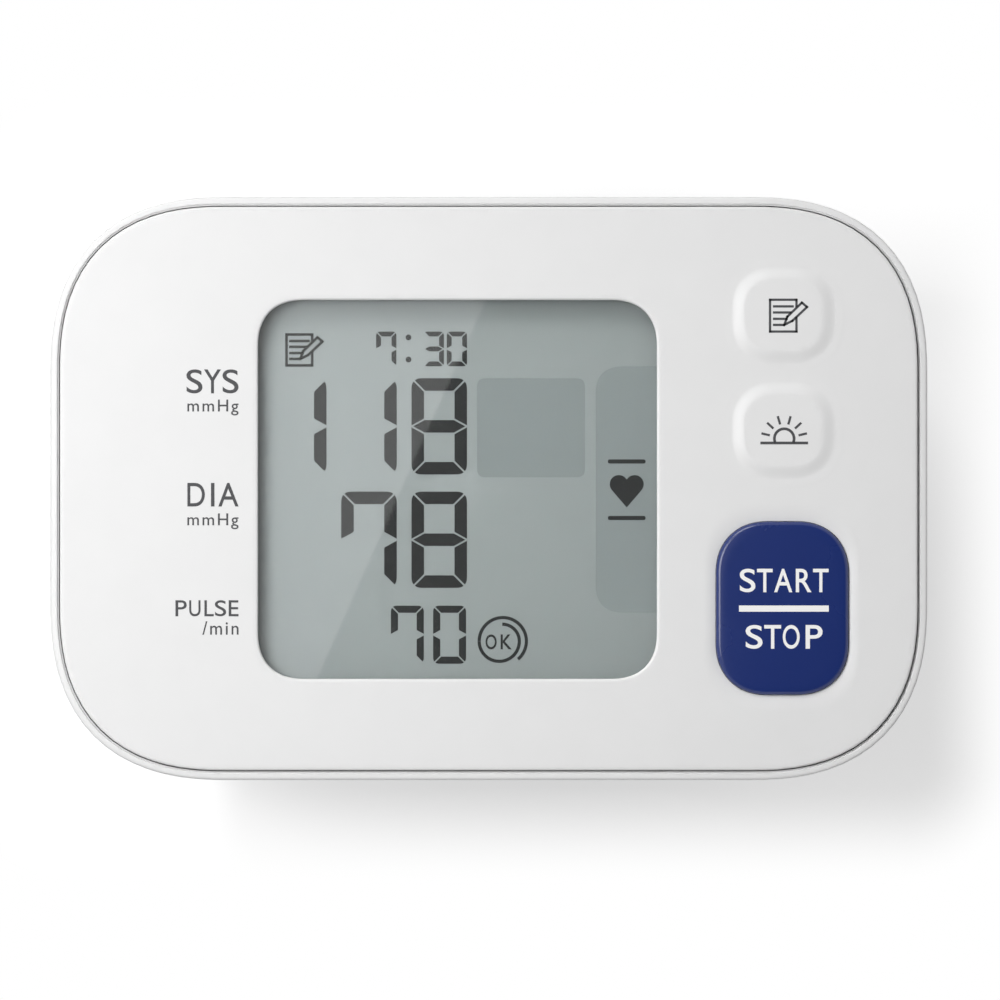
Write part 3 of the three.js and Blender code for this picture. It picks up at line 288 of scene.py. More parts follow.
def turned(profile: Sequence[Point], x: float = 0.0, y: float = 0.0, ring: bool = False) -> BMesh:
    """Turns a profile about an upright axis.

    Args:
        profile: Radius and height of each point.
        x: Place of the axis along X.
        y: Place of the axis along Y.
        ring: Whether the profile closes on itself.

    Returns:
        The turned solid.
    """
    bm = bmesh.new()
    verts = [bm.verts.new((radius, 0, z)) for radius, z in profile]
    edges = [bm.edges.new(pair) for pair in zip(verts, verts[1:])]
    if ring:
        edges.append(bm.edges.new((verts[-1], verts[0])))
    bmesh.ops.spin(
        bm, geom=verts + edges, cent=(0, 0, 0), axis=(0, 0, 1), angle=2 * math.pi, steps=ROUND_STEPS,
        use_merge=True,
    )
    return tidy(shifted(bm, x, y))


def block(low: Sequence[float], high: Sequence[float], round_by: float = 0.0) -> BMesh:
    """Makes a box between two corners, with its edges rounded if asked.

    Args:
        low: Lowest corner.
        high: Highest corner.
        round_by: Radius of the edges.

    Returns:
        The box.
    """
    bm = bmesh.new()
    bmesh.ops.create_cube(bm, size=1)
    low, high = Vector(low), Vector(high)
    bmesh.ops.scale(bm, vec=high - low, verts=bm.verts)
    shifted(bm, *(low + high) / 2)
    if round_by:
        bmesh.ops.bevel(
            bm, geom=bm.edges[:], offset=round_by, offset_type="OFFSET", segments=BLOCK_STEPS,
            profile=0.5, affect="EDGES", material=-1,
        )
    return bm


def cut_off(bm: BMesh, point: Sequence[float], away: Sequence[float]) -> None:
    """Cuts a mesh through a point and drops the side that a direction leads to."""
    geom = bm.verts[:] + bm.edges[:] + bm.faces[:]
    bmesh.ops.bisect_plane(bm, geom=geom, plane_co=point, plane_no=away, clear_outer=True)


def mesh_of(name: str, bm: BMesh) -> Mesh:
    """Stores a shape as a mesh.

    Args:
        name: Name of the mesh.
        bm: The shape, which is used up.

    Returns:
        The mesh.
    """
    mesh = bpy.data.meshes.new(name)
    bm.to_mesh(mesh)
    bm.free()
    return mesh


def linked(name: str, data: ID) -> Object:
    """Puts a mesh, a curve, a lamp or a camera into the scene.

    Args:
        name: Name of the object.
        data: What the object holds.

    Returns:
        The object.
    """
    made = bpy.data.objects.new(name, data)
    bpy.context.scene.collection.objects.link(made)
    return made


def discard(made: Object) -> None:
    """Removes an object with its mesh or curve.

    Args:
        made: The object.
    """
    data = made.data
    store = bpy.data.curves if isinstance(data, Curve) else bpy.data.meshes
    bpy.data.objects.remove(made)
    store.remove(data)


def finished(made: Object) -> BMesh:
    """Takes an object's shape, with its modifiers applied.

    Args:
        made: The object, which is used up.

    Returns:
        The shape.
    """
    scene_state = bpy.context.evaluated_depsgraph_get()
    mesh = bpy.data.meshes.new_from_object(made.evaluated_get(scene_state))
    discard(made)
    bm = bmesh.new()
    bm.from_mesh(mesh)
    bpy.data.meshes.remove(mesh)
    return bm


def added(target: BMesh, *others: BMesh) -> BMesh:
    """Moves the shapes of other meshes into one, as islands of it.

    Args:
        target: Mesh that takes them.
        *others: Meshes to take, which are used up.

    Returns:
        The target.
    """
    for other in others:
        mesh = mesh_of("island", other)
        target.from_mesh(mesh)
        bpy.data.meshes.remove(mesh)
    return target


def carve(body: BMesh, tool: BMesh, how: Carve) -> BMesh:
    """Joins, cuts or crosses two closed meshes, which are used up.

    Args:
        body: Mesh to work on.
        tool: Mesh to work with.
        how: What to do.

    Returns:
        The result.
    """
    worked, cutter = [linked("scratch", mesh_of("scratch", bm)) for bm in (body, tool)]
    change = worked.modifiers.new("carve", "BOOLEAN")
    change.object = cutter
    change.operation = how.value
    change.solver = "EXACT"
    change.use_self = True
    result = finished(worked)
    discard(cutter)
    return result


def thickened(made: Object, thick: float, offset: float) -> None:
    """Gives a sheet its thickness.

    Args:
        made: The sheet.
        thick: Its thickness.
        offset: 0 to grow on both faces, -1 to grow inwards.
    """
    wall = made.modifiers.new("wall", "SOLIDIFY")
    wall.thickness = thick * MM
    wall.offset = offset


@dataclass
class Piece:
    """What a new piece of the object is called, and what it goes with."""

    name: str
    slot: Slot
    body: Body | None = Body.HOUSING
    stands_for: tuple[str, ...] = ()
    lift: float = 0.0  # how far it is raised into the row frame
    sharp: float = SHARP

    def make(self, bm: BMesh, *finishes: "Finish") -> Object:
        """Makes the object from a mesh in millimetres, which is used up.

        Args:
            bm: The mesh.
            *finishes: Its finishes.

        Returns:
            The object, in place and riding on its body.
        """
        bmesh.ops.scale(shifted(bm, 0, 0, self.lift), vec=(MM, MM, MM), verts=bm.verts)
        mesh = mesh_of(self.name, bm)
        for finish in finishes:
            mesh.materials.append(finish.material())
        mesh.shade_smooth()
        mesh.set_sharp_from_angle(angle=self.sharp)
        made = linked(self.name, mesh)
        if self.stands_for:
            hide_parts(*self.stands_for)
        if self.body:
            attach(made, self.body.value)
        LOG.info("%s: %d faces", self.name, len(mesh.polygons))
        return made


# Finishes

COAT_ROUGHNESS = 0.06
LENS_INDEX = 1.49
FIRST_COLOUR, SECOND_COLOUR, MIXED_COLOUR = 6, 7, 2  # sockets of a Mix node that mixes colours


class Graph:
    """Lays out the nodes of one tree."""

    def __init__(self, tree: NodeTree) -> None:
        """Keeps the tree that the nodes go in."""
        self.tree = tree

    def add(self, kind: str, inputs: dict | None = None, **settings: object) -> Node:
        """Adds a node.

        Args:
            kind: Its type.
            inputs: Values or sockets for its inputs, by name or number.
            **settings: Its other settings.

        Returns:
            The node.
        """
        node = self.tree.nodes.new(kind)
        for name, value in settings.items():
            setattr(node, name, value)
        self.feed(node, inputs or {})
        return node

    def feed(self, node: Node, inputs: dict) -> None:
        """Links sockets to a node's inputs, or sets the inputs' own values.

        Args:
            node: The node.
            inputs: Values or sockets, by name or number of the input.
        """
        for name, value in inputs.items():
            socket = node.inputs[name]
            if isinstance(value, NodeSocket):
                self.tree.links.new(value, socket)
            elif socket.type == "RGBA":
                socket.default_value = (*value, 1.0)
            else:
                socket.default_value = value

    def node(self, kind: str) -> Node:
        """Finds the tree's first node of a type."""
        return next(node for node in self.tree.nodes if node.type == kind)

    def sum(self, how: str, first: object, second: object = 0.0) -> NodeSocket:
        """Works out a number from one or two others."""
        return self.add("ShaderNodeMath", {0: first, 1: second}, operation=how).outputs[0]

    def noise(self, where: object, scale: object, detail: float = 2.0) -> NodeSocket:
        """Gives a noise that follows a place."""
        inputs = {"Vector": where, "Scale": scale, "Detail": detail}
        return self.add("ShaderNodeTexNoise", inputs).outputs["Fac"]

    def spread(self, value: object, low: float, high: float) -> NodeSocket:
        """Spreads a value from 0 to 1 over another range."""
        inputs = {"Value": value, "To Min": low, "To Max": high}
        return self.add("ShaderNodeMapRange", inputs).outputs["Result"]

    def ramp(self, value: object, start: float, end: float, low: float, high: float) -> NodeSocket:
        """Goes softly from low to high while a value goes from start to end."""
        inputs = {"Value": value, "From Min": start, "From Max": end, "To Min": low, "To Max": high}
        return self.add("ShaderNodeMapRange", inputs, interpolation_type="SMOOTHSTEP").outputs["Result"]

    def blend(self, share: object, first: object, second: object) -> NodeSocket:
        """Mixes two colours."""
        inputs = {"Factor": share, FIRST_COLOUR: first, SECOND_COLOUR: second}
        return self.add("ShaderNodeMix", inputs, data_type="RGBA").outputs[MIXED_COLOUR]

    def bump(self, height: object, strength: float, distance: float) -> NodeSocket:
        """Turns a height into a normal."""
        inputs = {"Strength": strength, "Distance": distance, "Height": height}
        return self.add("ShaderNodeBump", inputs).outputs[0]

    def place(self) -> NodeSocket:
        """The piece's own coordinates."""
        return self.add("ShaderNodeTexCoord").outputs["Object"]

    def attribute(self, name: str) -> NodeSocket:
        """A number kept in the mesh."""
        return self.add("ShaderNodeAttribute", attribute_name=name).outputs["Fac"]


def effect_group(name: str, inputs: Sequence[str], outputs: Sequence[str]) -> tuple[Graph, Node, Node]:
    """Starts a shader node group.

    Args:
        name: Name of the group.
        inputs: Names of its number inputs.
        outputs: Names of its number outputs.

    Returns:
        The group's graph, its input node and its output node.
    """
    tree = bpy.data.node_groups.new(name, "ShaderNodeTree")
    for way, sockets in (("INPUT", inputs), ("OUTPUT", outputs)):
        for socket in sockets:
            tree.interface.new_socket(name=socket, in_out=way, socket_type="NodeSocketFloat")
    graph = Graph(tree)
    return graph, graph.add("NodeGroupInput"), graph.add("NodeGroupOutput")


@cache
def mould_grain() -> NodeTree:
    """Makes the group that gives a moulded surface its grain, tone and smears.

    Returns:
        The group, made once.
    """
    graph, given, out = effect_group("mould_grain", ["Scale"], ["Height", "Tone", "Smear"])
    place, scale = graph.place(), given.outputs["Scale"]
    graph.feed(out, {
        "Height": graph.noise(place, scale, 4.0),
        "Tone": graph.noise(place, graph.sum("MULTIPLY", scale, 0.06), 3.0),
        "Smear": graph.noise(place, graph.sum("MULTIPLY", scale, 0.02), 5.0),
    })
    return graph.tree


@cache
def thread_weave() -> NodeTree:
    """Makes the group that gives the height, shade and fuzz of a plain weave that follows a cloth.

    Returns:
        The group, made once.
    """
    graph, given, out = effect_group("thread_weave", ["Pitch", "Rib"], ["Height", "Shade", "Fuzz"])
    pitch = given.outputs["Pitch"]
    warp = graph.sum("DIVIDE", graph.attribute("along"), pitch)
    weft_pitch = graph.sum("MULTIPLY", pitch, given.outputs["Rib"])
    weft = graph.sum("DIVIDE", graph.attribute("across"), weft_pitch)
    cells = graph.sum("ADD", graph.sum("FLOOR", warp), graph.sum("FLOOR", weft))
    over = graph.sum("PINGPONG", cells, 1.0)
    waves = [graph.sum("SINE", graph.sum("MULTIPLY", run, math.pi)) for run in (warp, weft)]
    warp_bulge, weft_bulge = [graph.sum("ABSOLUTE", wave) for wave in waves]
    crown = graph.sum("MULTIPLY", warp_bulge, weft_bulge)
    lying = graph.sum("MULTIPLY", graph.sum("SUBTRACT", 1.0, over), warp_bulge)
    standing = graph.sum("MULTIPLY", over, weft_bulge)
    height = graph.sum("ADD", crown, graph.sum("ADD", lying, standing))
    spot = graph.add("ShaderNodeCombineXYZ", {"X": warp, "Y": weft}).outputs[0]
    graph.feed(out, {
        "Height": graph.sum("MULTIPLY", height, 0.5),
        "Shade": graph.sum("ADD", graph.sum("MULTIPLY", over, 0.35), graph.noise(spot, 0.7)),
        "Fuzz": graph.noise(spot, 6.0, 4.0),
    })
    return graph.tree


@dataclass(frozen=True)
class Finish:
    """A moulded, painted, rubber or metal finish."""

    name: str  # none that a CAD material has
    colour: Colour
    roughness: float
    metallic: float = 0.0
    grain: float = 4000.0  # scale of the grain
    relief: float = 0.000004  # how far the grain stands out, in metres
    tone: float = 0.02  # how much the colour varies
    smear: float = 0.04  # how much the roughness varies
    coat: float = 0.0
    sheen: float = 0.0
    gloss: float = 0.5

    def shades(self) -> tuple[Colour, ...]:
        """The darkest and the lightest shade of the colour."""
        return tuple(tuple(side * part for part in self.colour) for side in (1 - self.tone, 1 + self.tone))

    def uneven(self, graph: Graph, share: NodeSocket) -> NodeSocket:
        """Gives a roughness that varies with a share."""
        return graph.spread(share, self.roughness - self.smear, self.roughness + self.smear)

    def moulded(self, graph: Graph) -> Node:
        """Adds the grain of a moulded surface."""
        return graph.add("ShaderNodeGroup", {"Scale": self.grain}, node_tree=mould_grain())

    def dress(self, graph: Graph, shader: Node) -> None:
        """Gives the shader its colour, roughness and grain.

        Args:
            graph: The material's graph.
            shader: Its shader.
        """
        grain = self.moulded(graph).outputs
        graph.feed(shader, {
            "Base Color": graph.blend(grain["Tone"], *self.shades()),
            "Roughness": self.uneven(graph, grain["Smear"]),
            "Normal": graph.bump(grain["Height"], 0.6, self.relief),
        })

    @cache
    def material(self) -> Material:
        """Makes the material, with the numbers that are the same all over it on its shader.

        Returns:
            The material, made once.
        """
        material = bpy.data.materials.new(self.name)
        material.use_nodes = True
        graph = Graph(material.node_tree)
        shader = graph.node("BSDF_PRINCIPLED")
        graph.feed(shader, {
            "Metallic": self.metallic,
            "Coat Weight": self.coat,
            "Coat Roughness": COAT_ROUGHNESS,
            "Sheen Weight": self.sheen,
            "Specular IOR Level": self.gloss,
        })
        self.dress(graph, shader)
        return material


@dataclass(frozen=True)
class ClothFinish(Finish):
    """A woven finish that follows the attributes along and across of its cloth."""

    pitch: float = 0.0005  # distance between threads, in metres
    rib: float = 1.0  # width of a weft thread over a warp thread's
    thread: Colour = (0.1, 0.1, 0.1)  # the lighter threads
    fuzz: float = 0.4  # height of the fuzz over the threads'

    def dress(self, graph: Graph, shader: Node) -> None:
        """Gives the shader its threads, worn lighter in places.

        Args:
            graph: The material's graph.
            shader: Its shader.
        """
        inputs = {"Pitch": self.pitch, "Rib": self.rib}
        weave = graph.add("ShaderNodeGroup", inputs, node_tree=thread_weave()).outputs
        cloth = graph.blend(weave["Shade"], self.colour, self.thread)
        worn = graph.spread(graph.noise(graph.place(), 90.0, 4.0), -0.15, 0.35)
        height = graph.sum("ADD", weave["Height"], graph.sum("MULTIPLY", weave["Fuzz"], self.fuzz))
        graph.feed(shader, {
            "Base Color": graph.blend(worn, cloth, self.thread),
            "Roughness": self.uneven(graph, weave["Fuzz"]),
            "Normal": graph.bump(height, 0.7, self.relief),
        })


@dataclass(frozen=True)
class GlassFinish(Finish):
    """A clear plate that lets the lamps' light through."""

    def dress(self, graph: Graph, shader: Node) -> None:
        """Gives the shader its clearness and a faint film of dust.

        Args:
            graph: The material's graph.
            shader: Its shader.
        """
        graph.feed(shader, {
            "Base Color": self.colour,
            "Transmission Weight": 1.0,
            "IOR": LENS_INDEX,
            "Roughness": graph.spread(self.moulded(graph).outputs["Smear"], 0.0, self.roughness),
        })
        clear = graph.add("ShaderNodeBsdfTransparent").outputs[0]
        lamp_ray = graph.add("ShaderNodeLightPath").outputs["Is Shadow Ray"]
        mixed = graph.add("ShaderNodeMixShader", {0: lamp_ray, 1: shader.outputs[0], 2: clear})
        graph.feed(graph.node("OUTPUT_MATERIAL"), {"Surface": mixed.outputs[0]})


@dataclass(frozen=True)
class BoardFinish(Finish):
    """A printed board with copper tracks under its lacquer."""

    track: Colour = (0.03, 0.16, 0.07)

    def dress(self, graph: Graph, shader: Node) -> None:
        """Gives the shader its tracks.

        Args:
            graph: The material's graph.
            shader: Its shader.
        """
        inputs = {"Vector": graph.place(), "Scale": 300.0, "Mortar Size": 0.06}
        track = graph.add("ShaderNodeTexBrick", inputs).outputs["Fac"]
        tone = graph.blend(graph.noise(graph.place(), 900.0), *self.shades())
        graph.feed(shader, {
            "Base Color": graph.blend(track, tone, self.track),
            "Roughness": graph.spread(track, self.roughness, self.roughness - 0.1),
            "Normal": graph.bump(track, 0.5, self.relief),
        })


WHITE_SHELL = Finish("white_shell", (0.80, 0.80, 0.80), 0.38)
WHITE_SKIN = Finish("white_skin", (0.80, 0.80, 0.80), 0.42, grain=5000.0)
NAVY_KEY = Finish("navy_key", (0.0052, 0.022, 0.149), 0.27, tone=0.05, coat=0.2, relief=0.000003)
CLEAR_LENS = GlassFinish("clear_lens", (0.98, 0.99, 0.985), 0.03)
DISPLAY_GLASS = Finish("display_glass", (0.236, 0.259, 0.259), 0.5, grain=6000.0, gloss=0.1)
DISPLAY_SHADE = Finish("display_shade", (0.176, 0.199, 0.199), 0.5, grain=6000.0, gloss=0.1)
DISPLAY_INK = Finish("display_ink", (0.016, 0.017, 0.017), 0.5, grain=6000.0, tone=0.1, gloss=0.1)
GREY_PRINT = Finish("grey_print", (0.052, 0.053, 0.058), 0.55, grain=9000.0, tone=0.08)
WHITE_PRINT = Finish("white_print", (0.93, 0.93, 0.92), 0.5, grain=9000.0)
BLACK_PLASTIC = Finish("black_moulding", (0.018, 0.019, 0.020), 0.48, tone=0.1, relief=0.000008)
GREY_PLASTIC = Finish("grey_moulding", (0.20, 0.205, 0.21), 0.46, tone=0.05, relief=0.00001)
RUBBER = Finish("dark_rubber", (0.09, 0.095, 0.10), 0.85, grain=2500.0, tone=0.08, relief=0.00002)
SILICONE = Finish("milky_silicone", (0.62, 0.60, 0.55), 0.55, grain=1500.0, tone=0.04, sheen=0.2)
BOARD = BoardFinish("board_lacquer", (0.012, 0.085, 0.035), 0.5, tone=0.12, relief=0.00003)
CHIP = Finish("chip_moulding", (0.014, 0.014, 0.016), 0.55, grain=7000.0, tone=0.15, relief=0.00001)
STEEL = Finish("bright_steel", (0.55, 0.56, 0.57), 0.28, metallic=1.0, tone=0.05, smear=0.08)
NICKEL = Finish("nickel_plate", (0.62, 0.60, 0.56), 0.24, metallic=1.0, tone=0.06, smear=0.08)
CELL_JACKET = Finish("cell_jacket", (0.020, 0.022, 0.024), 0.32, tone=0.06, coat=0.3)
CELL_BAND = Finish("cell_band", (0.42, 0.20, 0.07), 0.3, metallic=0.7, tone=0.05, coat=0.3)
RED_WIRE = Finish("red_sleeve", (0.42, 0.016, 0.012), 0.5, grain=1500.0, tone=0.06)
BLACK_WIRE = Finish("black_sleeve", (0.010, 0.010, 0.011), 0.5, grain=1500.0, tone=0.1)
FILM = Finish("clear_film", (0.58, 0.61, 0.60), 0.35, grain=700.0, tone=0.04, relief=0.00003, coat=0.2)
CUFF_CLOTH = ClothFinish(
    "cuff_cloth", (0.020, 0.022, 0.026), 0.9, relief=0.00012, sheen=0.25, pitch=0.00052,
    thread=(0.062, 0.066, 0.075),
)
CUFF_LINING = ClothFinish(
    "cuff_lining", (0.060, 0.065, 0.074), 0.95, relief=0.00009, sheen=0.4, pitch=0.00038,
    thread=(0.13, 0.138, 0.15),
)
EDGE_TAPE = ClothFinish(
    "edge_tape", (0.010, 0.011, 0.013), 0.85, relief=0.00012, sheen=0.2, pitch=0.0007, rib=0.5,
    thread=(0.032, 0.034, 0.038),
)
THREAD = Finish(
    "sewing_thread", (0.11, 0.115, 0.125), 0.8, grain=2500.0, tone=0.2, relief=0.00004, sheen=0.2
)
HOOK_TAPE = Finish("hook_tape", (0.016, 0.017, 0.019), 0.6, grain=3000.0, tone=0.15, relief=0.00003)


# Display unit

CASE = SoftOutline(91.0, 60.5, 18.5)
REACH_LOST = 1.2  # the case's corners get this much shorter for each millimetre set in
SOFT_PLAY = 0.25  # round a small key's stem
START_PLAY = 0.05
WINDOW = SoftOutline(41.38, 39.3, 5.0, -3.24, -0.1)
START = SoftOutline(13.77, 17.99, 5.5, 30.45, -12.42, 0.54)
MEMORY = SoftOutline(10.58, 9.92, 4.4, 30.56, 17.97, 0.54)
AVERAGE = SoftOutline(10.58, 9.92, 4.4, 30.56, 6.02, 0.54)
FLANGE = 0.8  # how far a key's flange reaches under the face
FLANGE_LOW, FLANGE_HIGH = 12.2, 13.2
CASE_SCREWS = ((-18.5, 25.5), (-18.5, -25.5), (38.6, 22.85), (38.6, -22.85))
CASE_SCREW_SEAT = 4.4
BOARD_SCREWS = ((40.9, 9.0), (40.9, -9.0))
BOARD_SCREW_SEAT = 9.0
CLAWS = ((-19.0, -14.0), (-19.0, 14.0), (19.0, -14.0), (19.0, 14.0))
AIR_PORT = (-4.0, -2.0)
AIR_PORT_RADIUS = 2.0
PRINT_GAP = 0.004  # a print's underside stands this far off what it lies on


def case_outline(inset: float) -> SoftOutline:
    """The case's outline, set in by a distance."""
    return CASE.grown(-inset, REACH_LOST)


@dataclass
class CaseSkin:
    """The run of the case's side from the back to the rim."""

    draft: float = 0.5  # how far the sides lean in towards the back
    back_round: float = 4.0
    straight_from: float = 10.2  # height where the sides stop leaning
    steps: int = 10
    flat: float = 0.4  # width of the strip that keeps the flat back flat

    def levels(self, wall: float, floor: float) -> list[Level]:
        """Gives the levels of the skin at a depth below the case's surface.

        Args:
            wall: Depth below the sides.
            floor: Depth below the back.

        Returns:
            Levels from the back to the height where the sides stand straight.
        """
        radius = self.back_round - floor
        side = wall + self.draft
        edge = rounded(lambda inset: case_outline(side + inset), radius, floor, self.steps, -1)
        back = (case_outline(side + radius + self.flat), floor)
        return [back, *reversed(edge), (case_outline(wall), self.straight_from)]

    def solid(self, wall: float, floor: float, top: float) -> BMesh:
        """Makes the skin into a closed solid with a flat top."""
        return closed_loft([*self.levels(wall, floor), (case_outline(wall), top)])


@dataclass
class DoorRoom:
    """The room that the battery door fills: a lapped strip of the back and of the left side."""

    half: float = 22.8  # of its length
    right: float = -24.0
    top: float = 4.0
    side_right: float = -39.45  # right end of the part in the side wall
    side_top: float = 9.6
    lap: float = 1.0  # how far the long edges are lapped
    lap_low: float = 0.6
    lap_high: float = 1.6

    def solid(self, gap: float) -> BMesh:
        """Makes the room.

        Args:
            gap: How much smaller it is made on every side.

        Returns:
            The solid.
        """
        left, low = -CASE.width, -PAST
        half, right = self.half - gap, self.right - gap
        wide = half + self.lap
        back = block((left, -half, low), (right, half, self.top))
        lapped = block((left, -wide, self.lap_low + gap / 2), (right, wide, self.lap_high))
        side = block((left, -half, low), (self.side_right, half, self.side_top - gap))
        return carve(carve(back, lapped, Carve.TOGETHER), side, Carve.TOGETHER)


@dataclass
class RearCase:
    """The back half of the case, whose rim frames the front cover."""

    wall: float = 1.6
    floor: float = 1.3
    rim_top: float = 14.7
    rim_width: float = 0.74
    rim_round: float = 0.32
    rim_steps: int = 5
    rim_chamfer: float = 0.06
    groove: float = 0.16
    groove_floor: float = 14.3
    rebate: float = 10.2
    boss_radius: float = 3.2
    boss_top: float = 6.3
    well_radius: float = 2.2
    well_chamfer: float = 0.35
    hole_radius: float = 1.2
    claw_hole: Point = (1.2, 3.2)  # half of its width and length
    bay_left: float = -42.45
    bay_right: float = -21.0
    bay_wall: float = 1.0
    bay_top: float = 8.8
    bay_half: float = 24.9  # to the middle of its end walls
    bay_end: float = 0.8  # thickness of its end walls
    bay_end_top: float = 9.6
    rooted: float = 0.5  # depth below the case's surface where bosses and walls begin
    inside_top: float = 12.0

    def bowl(self) -> BMesh:
        """Makes the open bowl of the case.

        Returns:
            The closed skin of the bowl.
        """
        skin = CaseSkin()
        inner = case_outline(self.rim_width)
        ledge = case_outline(self.rim_width + self.groove)
        rim = [
            *rounded(case_outline, self.rim_round, self.rim_top, self.rim_steps),
            (case_outline(self.rim_width - self.rim_chamfer), self.rim_top),
            (inner, self.rim_top - self.rim_chamfer),
            (inner, self.groove_floor),
            (ledge, self.groove_floor),
            (ledge, self.rebate),
        ]
        inside = reversed(skin.levels(self.wall, self.floor))
        return closed_loft([*skin.levels(0, 0), *rim, *inside])

    def inside(self) -> BMesh:
        """Makes the screw bosses and the walls of the battery bay.

        Returns:
            The solid.
        """
        root, radius, top = self.floor / 2, self.boss_radius, self.boss_top
        bosses = bmesh.new()
        for place in CASE_SCREWS:
            added(bosses, turned([(0, root), (radius, root), (radius, top), (0, top)], *place))
        half, right = self.bay_half, self.bay_right
        walls = block((right - self.bay_wall, -half, root), (right, half, self.bay_top))
        for y in (half, -half):
            low = (self.bay_left, y - self.bay_end / 2, root)
            high = (right, y + self.bay_end / 2, self.bay_end_top)
            walls = carve(walls, block(low, high), Carve.TOGETHER)
        room = CaseSkin().solid(self.rooted, self.rooted, self.inside_top)
        return carve(added(bosses, walls), room, Carve.COMMON)

    def openings(self) -> BMesh:
        """Makes the shapes that the back is pierced with.

        Returns:
            The solids, as islands of one mesh.
        """
        tools = bmesh.new()
        mouth, top = self.well_radius + self.well_chamfer, self.floor + PAST
        well = [
            (0, -PAST), (mouth, -PAST), (mouth, 0), (self.well_radius, self.well_chamfer),
            (self.well_radius, CASE_SCREW_SEAT), (self.hole_radius, CASE_SCREW_SEAT),
            (self.hole_radius, FACE), (0, FACE),
        ]
        for place in CASE_SCREWS:
            added(tools, turned(well, *place))
        wide, long = self.claw_hole
        for x, y in CLAWS:
            added(tools, block((x - wide, y - long, -PAST), (x + wide, y + long, top)))
        port = [(0, -PAST), (AIR_PORT_RADIUS, -PAST), (AIR_PORT_RADIUS, top), (0, top)]
        return added(tools, turned(port, *AIR_PORT))

    def build(self) -> None:
        """Makes the piece."""
        shell = carve(self.bowl(), self.inside(), Carve.TOGETHER)
        for tool in (self.openings(), DoorRoom().solid(0)):
            shell = carve(shell, tool, Carve.AWAY)
        piece = Piece("rear_case_shell", Slot.SHELL, stands_for=("rear_case",), lift=BACK)
        piece.make(shell, WHITE_SHELL)


@dataclass
class BatteryDoor:
    """The sliding cover of the battery bay, with a finger grip and an arrow on its back."""

    thickness: float = 1.1
    gap: float = 0.3
    skin_top: float = 12.0
    ridges: int = 6
    ridge_pitch: float = 1.5
    ridge_width: float = 0.7
    ridge_half: float = 8.0
    ridge_rise: float = 0.3
    ridge_round: float = 0.2
    first_ridge: float = -38.2
    root: float = 0.4  # how deep the ridges and the arrow sit in the door
    arrow_tip: float = -29.0
    arrow_radius: float = 1.8
    arrow_rise: float = 0.21

    def grip(self) -> BMesh:
        """Makes the ridges and the arrow, standing out of the back.

        Returns:
            The solids, as islands of one mesh.
        """
        made = bmesh.new()
        half = self.ridge_width / 2
        for ridge in range(self.ridges):
            x = self.first_ridge + ridge * self.ridge_pitch
            low = (x - half, -self.ridge_half, -self.ridge_rise)
            added(made, block(low, (x + half, self.ridge_half, self.root), self.ridge_round))
        arrow = bmesh.ops.create_circle(made, cap_ends=True, radius=self.arrow_radius, segments=3)["verts"]
        turn = Matrix.Rotation(math.pi / 2, 3, "Z")
        bmesh.ops.rotate(made, cent=(0, 0, 0), matrix=turn, verts=arrow)
        bmesh.ops.translate(made, vec=(self.arrow_tip + self.arrow_radius, 0, self.root), verts=arrow)
        raised = bmesh.ops.extrude_face_region(made, geom=[arrow[0].link_faces[0]])["geom"]
        moved = [item for item in raised if isinstance(item, BMVert)]
        bmesh.ops.translate(made, vec=(0, 0, -self.root - self.arrow_rise), verts=moved)
        return tidy(made)

    def build(self) -> None:
        """Makes the piece."""
        skin = CaseSkin()
        inside = skin.solid(self.thickness, self.thickness, self.skin_top + PAST)
        shell = carve(skin.solid(0, 0, self.skin_top), inside, Carve.AWAY)
        door = carve(shell, DoorRoom().solid(self.gap), Carve.COMMON)
        door = carve(door, self.grip(), Carve.TOGETHER)
        Piece("battery_door", Slot.SHELL, Body.DOOR, ("battery_cover",), BACK).make(door, WHITE_SHELL)


